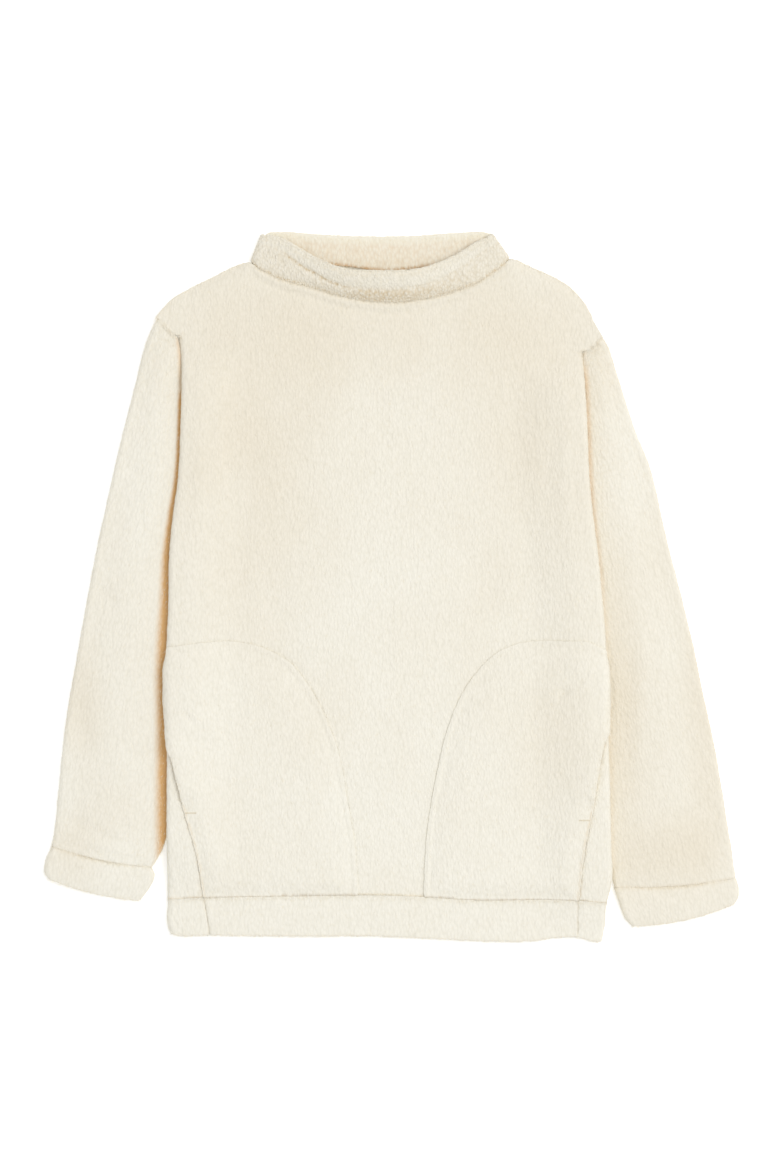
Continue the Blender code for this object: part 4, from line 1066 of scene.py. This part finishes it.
# Sleeves and cuffs, flattened tubes. Rows: outer edge, inner edge, thickness of both sheets, hang across
sleeves = {
    "left": np.array((
        (-229.0, 262.5, -207.6, 242.4, 11.0, 0), (-240, 237, -203.4, 220, 10.2, 0),
        (-251, 195, -203.2, 190, 9.0, 0), (-264.5, 142.5, -198, 145, 9.0, 0), (-276, 92, -201, 96, 9.0, 0),
        (-290, 27.5, -209, 29, 9.0, 0),
        (-305.5, -58, -211.5, -59, 9.0, 0), (-317, -124, -211.5, -130, 9.0, 0),
        (-324.5, -190.5, -211.5, -200, 9.0, 1), (-329, -236, -220, -249, 9.0, 2),
        (-332.3, -253.2, -233, -273.7, 9.0, 3))),
    "right": np.array((
        (205.9, 244.0, 186.2, 227.6, 11.0, 0), (213, 231, 185.8, 212, 10.2, 0),
        (224, 197, 187.5, 180, 9.0, 0), (239, 151, 184, 140, 9.0, 0), (254, 113, 185.5, 100, 9.0, 0),
        (268.5, 49.5, 191, 45, 9.0, 0),
        (292, -43.5, 201, -48, 9.0, 0), (305.5, -108.5, 203.5, -113, 9.0, 0), (318, -168, 205, -172, 9.0, 1),
        (329, -235.5, 208, -242, 9.0, 2), (336.5, -284, 216.6, -293, 9.0, 3))),
    "crown": 2.2, "startDip": -0.2, "seamDip": 0.5, "seamWidth": 7.0, "seamShade": 0.08, "shadeWidth": 2.6,
    "bulge": 0, "relief": 4, "seed": 94,
    "gap": {                      # shade beside the body: from this height, width and strength up and down
        "left": {"from": 204, "full": 176, "width": (5.0, 14.5), "shade": (1.0, 1.0)},
        "right": {"from": 236, "full": 200, "width": (6.0, 6.0), "shade": (0.35, 0.06)}},
    "gapStart": (248, 238, 0.34), "upDown": (150, -90),
    "creases": {
        "left": (((-312, -70), (-296, -180), 16, 1.0), ((-322, -225), (-262, -252), 11, 1.1),
                 ((-300, 10), (-262, -26), 12, 0.7), ((-262, 120), (-232, 96), 10, 0.8),
                 ((-300, -245), (-250, -262), 7, -0.6)),
        "right": (((300, -245), (236, -277), 11, 1.2), ((282, -20), (246, -64), 14, 0.8),
                  ((232, -30), (230, -190), 12, 0.9), ((262, 60), (226, 84), 10, 0.7),
                  ((318, -210), (270, -236), 9, 0.8)),
    },
    "lean": {"left": 11, "right": -13}, "tone": {"left": 0.26, "right": 0.54},
    # warmer or paler parts of each sleeve: place, half sizes, tone; the darker ones lie along the sleeve
    # creases and are partly painted shade in them
    "spots": {
        "left": (((-0.305, -0.115), (0.022, 0.05), 0.5), ((-0.312, -0.255), (0.028, 0.03), 0.4),
                 ((-0.25, 0.11), (0.03, 0.07), -0.15), ((-0.27, -0.22), (0.035, 0.03), 0.25)),
        "right": (((0.222, -0.13), (0.018, 0.11), 0.45), ((0.268, -0.262), (0.05, 0.03), 0.4),
                  ((0.31, -0.12), (0.02, 0.12), 0.35), ((0.235, 0.13), (0.03, 0.09), -0.35),
                  ((0.265, -0.05), (0.02, 0.06), -0.2)),
    },
    "cut": {"left": (0.232, 0.53), "right": (0.242, 0.545)}, "area": {"left": 0.0905, "right": 0.095},
}
cuffs = {
    "left": np.array((
        (-332.6, -253.8, -233.1, -274.3, 9.0, 3.0), (-337.5, -266, -230.8, -282.5, 9.5, 3.0),
        (-339, -278, -236, -294, 9.5, 3.0), (-335.5, -284.5, -244, -305.5, 9.0, 3.5))),
    "right": np.array((
        (336.8, -284.6, 216.8, -293.6, 9.0, 3.0), (339, -293, 221.5, -307, 9.5, 3.5),
        (338.8, -303, 227, -322, 9.5, 4.5), (335.5, -309, 233.5, -330.5, 9.0, 5.0))),
    "crown": 1.3, "startDip": 0.1, "seamWidth": 6.0, "seamShade": 0.12, "shadeWidth": 2.6, "bulge": 1.4,
    "middle": 0.5, "relief": 7, "seed": 97,
    "cut": {"left": (0.21, 0.033), "right": (0.235, 0.037)}, "area": {"left": 0.0066, "right": 0.0075},
}
sideOf = {"left": -1, "right": 1}


def layTube(sections, crown, turn, along):    # turn 0 to 1 is on top, 2 to 3 below, folds between them
    places = np.linspace(0, 1, len(sections))
    columns = [through(places, sections[:, k], along) for k in range(6)]
    outer, inner = np.stack(columns[:2], -1), np.stack(columns[2:4], -1)
    stack, bow = columns[4:]
    roll = (stack - cloth["wall"]) / 2
    line = inner - outer
    width = np.linalg.norm(line, axis=-1)
    line = line / width[..., None]
    cases = (turn < 1, turn < 2, turn < 3)
    share = np.select(cases, (turn, 1.0, 3 - turn), 0.0)
    angle = np.select(cases, (0.0, (turn - 1) * math.pi, math.pi), (turn - 2) * math.pi)
    fromOuter = cloth["wall"] / 2 + roll + share * (width - cloth["wall"] - 2 * roll) + roll * np.sin(angle)
    hang = bow * (1 - (2 * fromOuter / width - 1) ** 2)
    raised = crown * (turn < 1) * ease(along, 0, 0.2)
    x = outer[..., 0] + line[..., 0] * fromOuter
    y = outer[..., 1] + line[..., 1] * fromOuter - hang
    z = stack / 2 + roll * np.cos(angle) + raised * np.sin(math.pi * share) ** 2
    level = np.sin(angle) - raised * math.pi * np.sin(2 * math.pi * share) / width * np.cos(angle)
    normal = np.stack((line[..., 0] * level, line[..., 1] * level, np.cos(angle)), -1)
    return np.stack((x, y, z), -1), normal / np.linalg.norm(normal, axis=-1)[..., None]


def gridFaces(rows, columns, first):
    index = first + np.arange(rows * columns).reshape(rows, columns)
    beside = np.roll(index, -1, 1)
    faces = np.stack((index[:-1], beside[:-1], beside[1:], index[1:]), -1).reshape(-1, 4)
    return [tuple(face) for face in faces.tolist()]


def gapShade(values, side, places):    # warm shade where the sleeve goes under the body's side
    sign, gap, up = sideOf[side], values["gap"][side], places[..., 1]
    beside = sign * (places[..., 0] - lookUp(body["edges"], up, sideColumn[sign]))
    startTop, startFull, faint = values["gapStart"]
    downwards = np.maximum(ease(up, gap["from"], gap["full"]), faint * ease(up, startTop, startFull))
    lowDown = ease(up, *values["upDown"])
    width, shade = (high + (low - high) * lowDown for high, low in (gap["width"], gap["shade"]))
    return shade * ease(beside, -30, -10) * (1 - ease(beside / width, 0.1, 1)) * downwards


def makeTube(name, node, side, values, look):
    sections, endBulge = values[side], values["bulge"]
    wide = abs(sections[-1, 2] - sections[-1, 0])
    tall = math.dist(sections[0, :2], sections[-1, :2])
    upper = np.linspace(0, 1, round(wide / cloth["across"]) + 1)[:-1]
    lower = np.linspace(2, 3, round(wide / cloth["hiddenAcross"]) + 1)[:-1]
    bend = np.linspace(0, 1, 9)[:-1]
    ring = np.concatenate((upper, 1 + bend, lower, 3 + bend))
    rows = np.linspace(0, 1, max(6, round(tall / cloth["along"])) + 1)
    turn, along = np.meshgrid(ring, rows)
    middle, normal = layTube(sections, values["crown"], turn, along)
    stepRound = np.linalg.norm(np.roll(middle, -1, 1) - middle, axis=-1)
    u = np.concatenate((np.zeros((len(rows), 1)), np.cumsum(stepRound, 1)[:, :-1]), 1)
    u = u - u[:, [len(upper) // 2]]
    v = along * tall
    rag = waves("rag", u, v)
    dip = values["startDip"] * fade(v + rag, values["seamWidth"])
    relief = pileRelief(u, v, values["relief"])
    onTop = ease(normal[..., 2], 0.2, 0.9)
    if endBulge:
        relief, seamAway = relief + values["middle"] * np.sin(math.pi * along), v
    else:
        dip = np.maximum(dip, values["seamDip"] * fade(tall - v + rag, values["seamWidth"]))
        relief = relief - creaseAt(middle[..., 0], middle[..., 1], values["creases"][side]) * onTop
        seamAway = np.minimum(v, tall - v)
    outer = middle + normal * (cloth["wall"] / 2 + relief - dip)[..., None]
    fewer = 14 if len(rows) > 20 else len(rows)
    innerRows = np.linspace(0, len(rows) - 1, fewer).round().astype(int)
    inner = middle[innerRows] - normal[innerRows] * cloth["wall"] / 2
    columns, outerCount = len(ring), outer.size // 3
    verts = [outer.reshape(-1, 3), inner.reshape(-1, 3)]
    faces = gridFaces(len(rows), columns, 0)
    faces += [face[::-1] for face in gridFaces(len(innerRows), columns, outerCount)]
    first = outerCount + inner.size // 3
    fringe = None
    for row, bulge, direction in ((0, cloth["meet"], -1), (-1, endBulge or cloth["meet"], 1)):
        ahead = middle[row] - middle[row - direction]
        ahead = ahead / np.linalg.norm(ahead, axis=-1)[:, None]
        reachOut = bulge + 0.5 * waves("edge", u[row], v[row])
        top = ((outer[row] - middle[row]) * normal[row]).sum(-1)
        loops = [np.arange(columns) + (len(rows) - 1) * columns * (row != 0)]
        for height, reach in rimOf(top, cloth["wall"]):
            verts.append(middle[row] + normal[row] * height[:, None] + ahead * (reachOut * reach)[:, None])
            loops.append(first + np.arange(columns))
            first += columns
        if endBulge:
            fringe = verts[2 - cloth["rimRings"] - 1], ahead
        loops.append(outerCount + np.arange(columns) + (len(innerRows) - 1) * columns * (row != 0))
        faces += bridge(loops) if row == 0 else [quad[::-1] for quad in bridge(loops)]
    # painted shade along the seams, and on the sleeves the painted shade where they go under the body
    paintedShade = values["seamShade"] * fade(seamAway + rag, values["shadeWidth"], 1.5)
    if not endBulge:
        paintedShade = np.maximum(paintedShade, gapShade(values, side, outer) * onTop)
    made = makePiece(name, node, np.concatenate(verts), faces, look, "fleece", paintedShade.ravel(), sideOf[side],
                     () if endBulge else range(columns))
    down = (sections[-1, :2] + sections[-1, 2:4] - sections[0, :2] - sections[0, 2:4]) / 2
    nap = (down[0] / math.hypot(*down), down[1] / math.hypot(*down), 0)
    shows = normal[..., 2].ravel() > cloth["facesUp"]
    away = np.minimum(v, tall - v).ravel()
    shown, out = (part.reshape(-1, 3)[shows] for part in (outer, normal))
    loose = makeFibres(name + "Fibres", shown, out, nap, away[shows], "fleece", values["seed"] + len(side),
                       fringe)


for side in sideOf:
    lean = math.radians(sleeves["lean"][side])
    own = {key: sleeves[key][side] for key in ("tone", "spots")}
    # the sleeves' painted shade colour is a deeper orange, filled in evenly where each sleeve goes under the
    # body's side
    sleeveFleece = fleeceLook("fleece_sleeve_" + side, lean, {
        **own, "paintedShade": (0.73, 0.45, 0.20), "fill": 1.15, "ragged": 0.4})
    cuffFleece = fleeceLook("fleece_cuff_" + side, lean, {**own, "patchTone": 0.25})
    makeTube("sleeve" + side.title(), "sleeve_" + side, side, sleeves, sleeveFleece)
    makeTube("cuff" + side.title(), "cuff_" + side, side, cuffs, cuffFleece)
print("sleeves and cuffs made")

# Stitches: bar tacks under the pocket mouths, and the overlocked seam inside the neck
stitches = {
    "tackWide": 10.0, "tackTall": 2.2, "tackCount": 9, "tackThick": 1.0, "tackSlant": 0.35,
    "tacks": {"Left": (-195.4, -220.3), "Right": (187.9, -227.5)}, "tackColour": (0.84, 0.76, 0.60),
    "seam": np.array(((-44, 313.4), (-28, 310.6), (-8, 308.9), (14, 309.4), (39, 313.2))),
    "seamSpacing": 2.3, "seamLong": 1.7, "seamThick": 0.8, "seamZigzag": (0.4, 0.6),
    "seamColour": (0.66, 0.40, 0.18),
}


def threadLook(name, colour):
    look = Look(name)
    look.shade(Base_Color=colour, Roughness=0.8, Metallic=0.0)
    return look.made


def makeStitches(name, strokes, thick, on, look, slotName):
    trees = [BVHTree.FromPolygons(surfaces[piece][0].tolist(), surfaces[piece][1]) for piece in on]
    verts, faces = [], []
    for x1, y1, x2, y2 in strokes:
        ends = []
        for x, y in ((x1, y1), ((x1 + x2) / 2, (y1 + y2) / 2), (x2, y2)):
            hits = [tree.ray_cast(Vector((x, y, 60)), Vector((0, 0, -1)))[0] for tree in trees]
            ends.append(np.array((x, y, max(hit.z for hit in hits if hit))))
        along = (ends[2] - ends[0]) / np.linalg.norm(ends[2] - ends[0])
        beside = np.array((-along[1], along[0], 0)) * thick / 2
        middle = ends[1] + (0, 0, thick * 0.3)
        rise = np.array((0, 0, thick / 2))
        first = len(verts)
        verts += [ends[0], middle + beside, middle + rise, middle - beside, middle - rise, ends[2]]
        for k in range(4):
            one, two = first + 1 + k, first + 1 + (k + 1) % 4
            faces += [(first, two, one), (first + 5, one, two)]
    addMesh(name, verts, faces, look, slotName)


tackLook = threadLook("thread_tack", stitches["tackColour"])
tall, slant = stitches["tackTall"] / 2, stitches["tackSlant"]
for side, (x, y) in stitches["tacks"].items():
    across = np.linspace(-0.5, 0.5, stitches["tackCount"]) * stitches["tackWide"]
    strokes = [(x + a - slant, y - tall, x + a + slant, y + tall) for a in across]
    below = ["backPanel", "frontPanel", "pocket" + side]
    makeStitches("barTack" + side, strokes, stitches["tackThick"], below, tackLook, "fleece")
reach, (down, up) = stitches["seamLong"] / 2, stitches["seamZigzag"]
strokes = [(a - reach, at - down * (k % 2), a + reach, at + up * ((k + 1) % 2))
           for k, (a, at) in enumerate(smoothLine(stitches["seam"], stitches["seamSpacing"]))]
makeStitches("neckStitches", strokes, stitches["seamThick"], ["collarBack", "backPanel"],
             threadLook("thread_neck", stitches["seamColour"]), "fleece_inside")
print("stitches made")

# Floor, light and camera
studio = {
    "floor": (0.95, 0.95, 0.95), "floorFlecks": (0.94, 0.94, 0.94), "floorHalf": 15, "below": 0.0003,
    "glow": 0.3,
    "sky": 0.645, "keyPlace": (2.3, 0.9, 5.5), "keySize": 3.4, "keyPower": 150,
    "camera": (-0.00137, 0.0016, 5.0), "frameTall": 1.14075, "at": 0.010, "sensor": 36,
}


def place(name, data, where):
    made = bpy.data.objects.new(name, data)
    made.location = where
    bpy.context.scene.collection.objects.link(made)
    return made


floorLook = Look("floor_paper")
paper = floorLook.node("ShaderNodeTexNoise", {}, {"Scale": 90.0, "Detail": 2.0})
flecked = (paper * 0.3).clamped().mixed(studio["floor"], studio["floorFlecks"])
floorLook.shade(Base_Color=flecked, Roughness=0.95, Emission_Color=(1.0, 1.0, 1.0),
                Emission_Strength=studio["glow"])
half = studio["floorHalf"]
corners = [(x, y, -studio["below"]) for x, y in ((-half, -half), (half, -half), (half, half), (-half, half))]
addMesh("floor", np.array(corners) / mm, [(0, 1, 2, 3)], floorLook.made)

world = bpy.data.worlds.new("soft_sky")
world.use_nodes = True
world.node_tree.nodes["Background"].inputs["Color"].default_value = (1, 1, 1, 1)
world.node_tree.nodes["Background"].inputs["Strength"].default_value = studio["sky"]
bpy.context.scene.world = world

key = bpy.data.lights.new("key", "AREA")
key.energy, key.size = studio["keyPower"], studio["keySize"]
keyPlaced = place("key", key, studio["keyPlace"])
keyPlaced.rotation_euler = (-Vector(studio["keyPlace"])).to_track_quat("-Z", "Y").to_euler()

camera = bpy.data.cameras.new("camera")
camera.sensor_width = studio["sensor"]
camera.lens = studio["sensor"] * (studio["camera"][2] - studio["at"]) / studio["frameTall"]
camera.clip_end = 30
bpy.context.scene.camera = place("camera", camera, studio["camera"])
bpy.context.scene.view_settings.view_transform = "Standard"
print("studio ready")
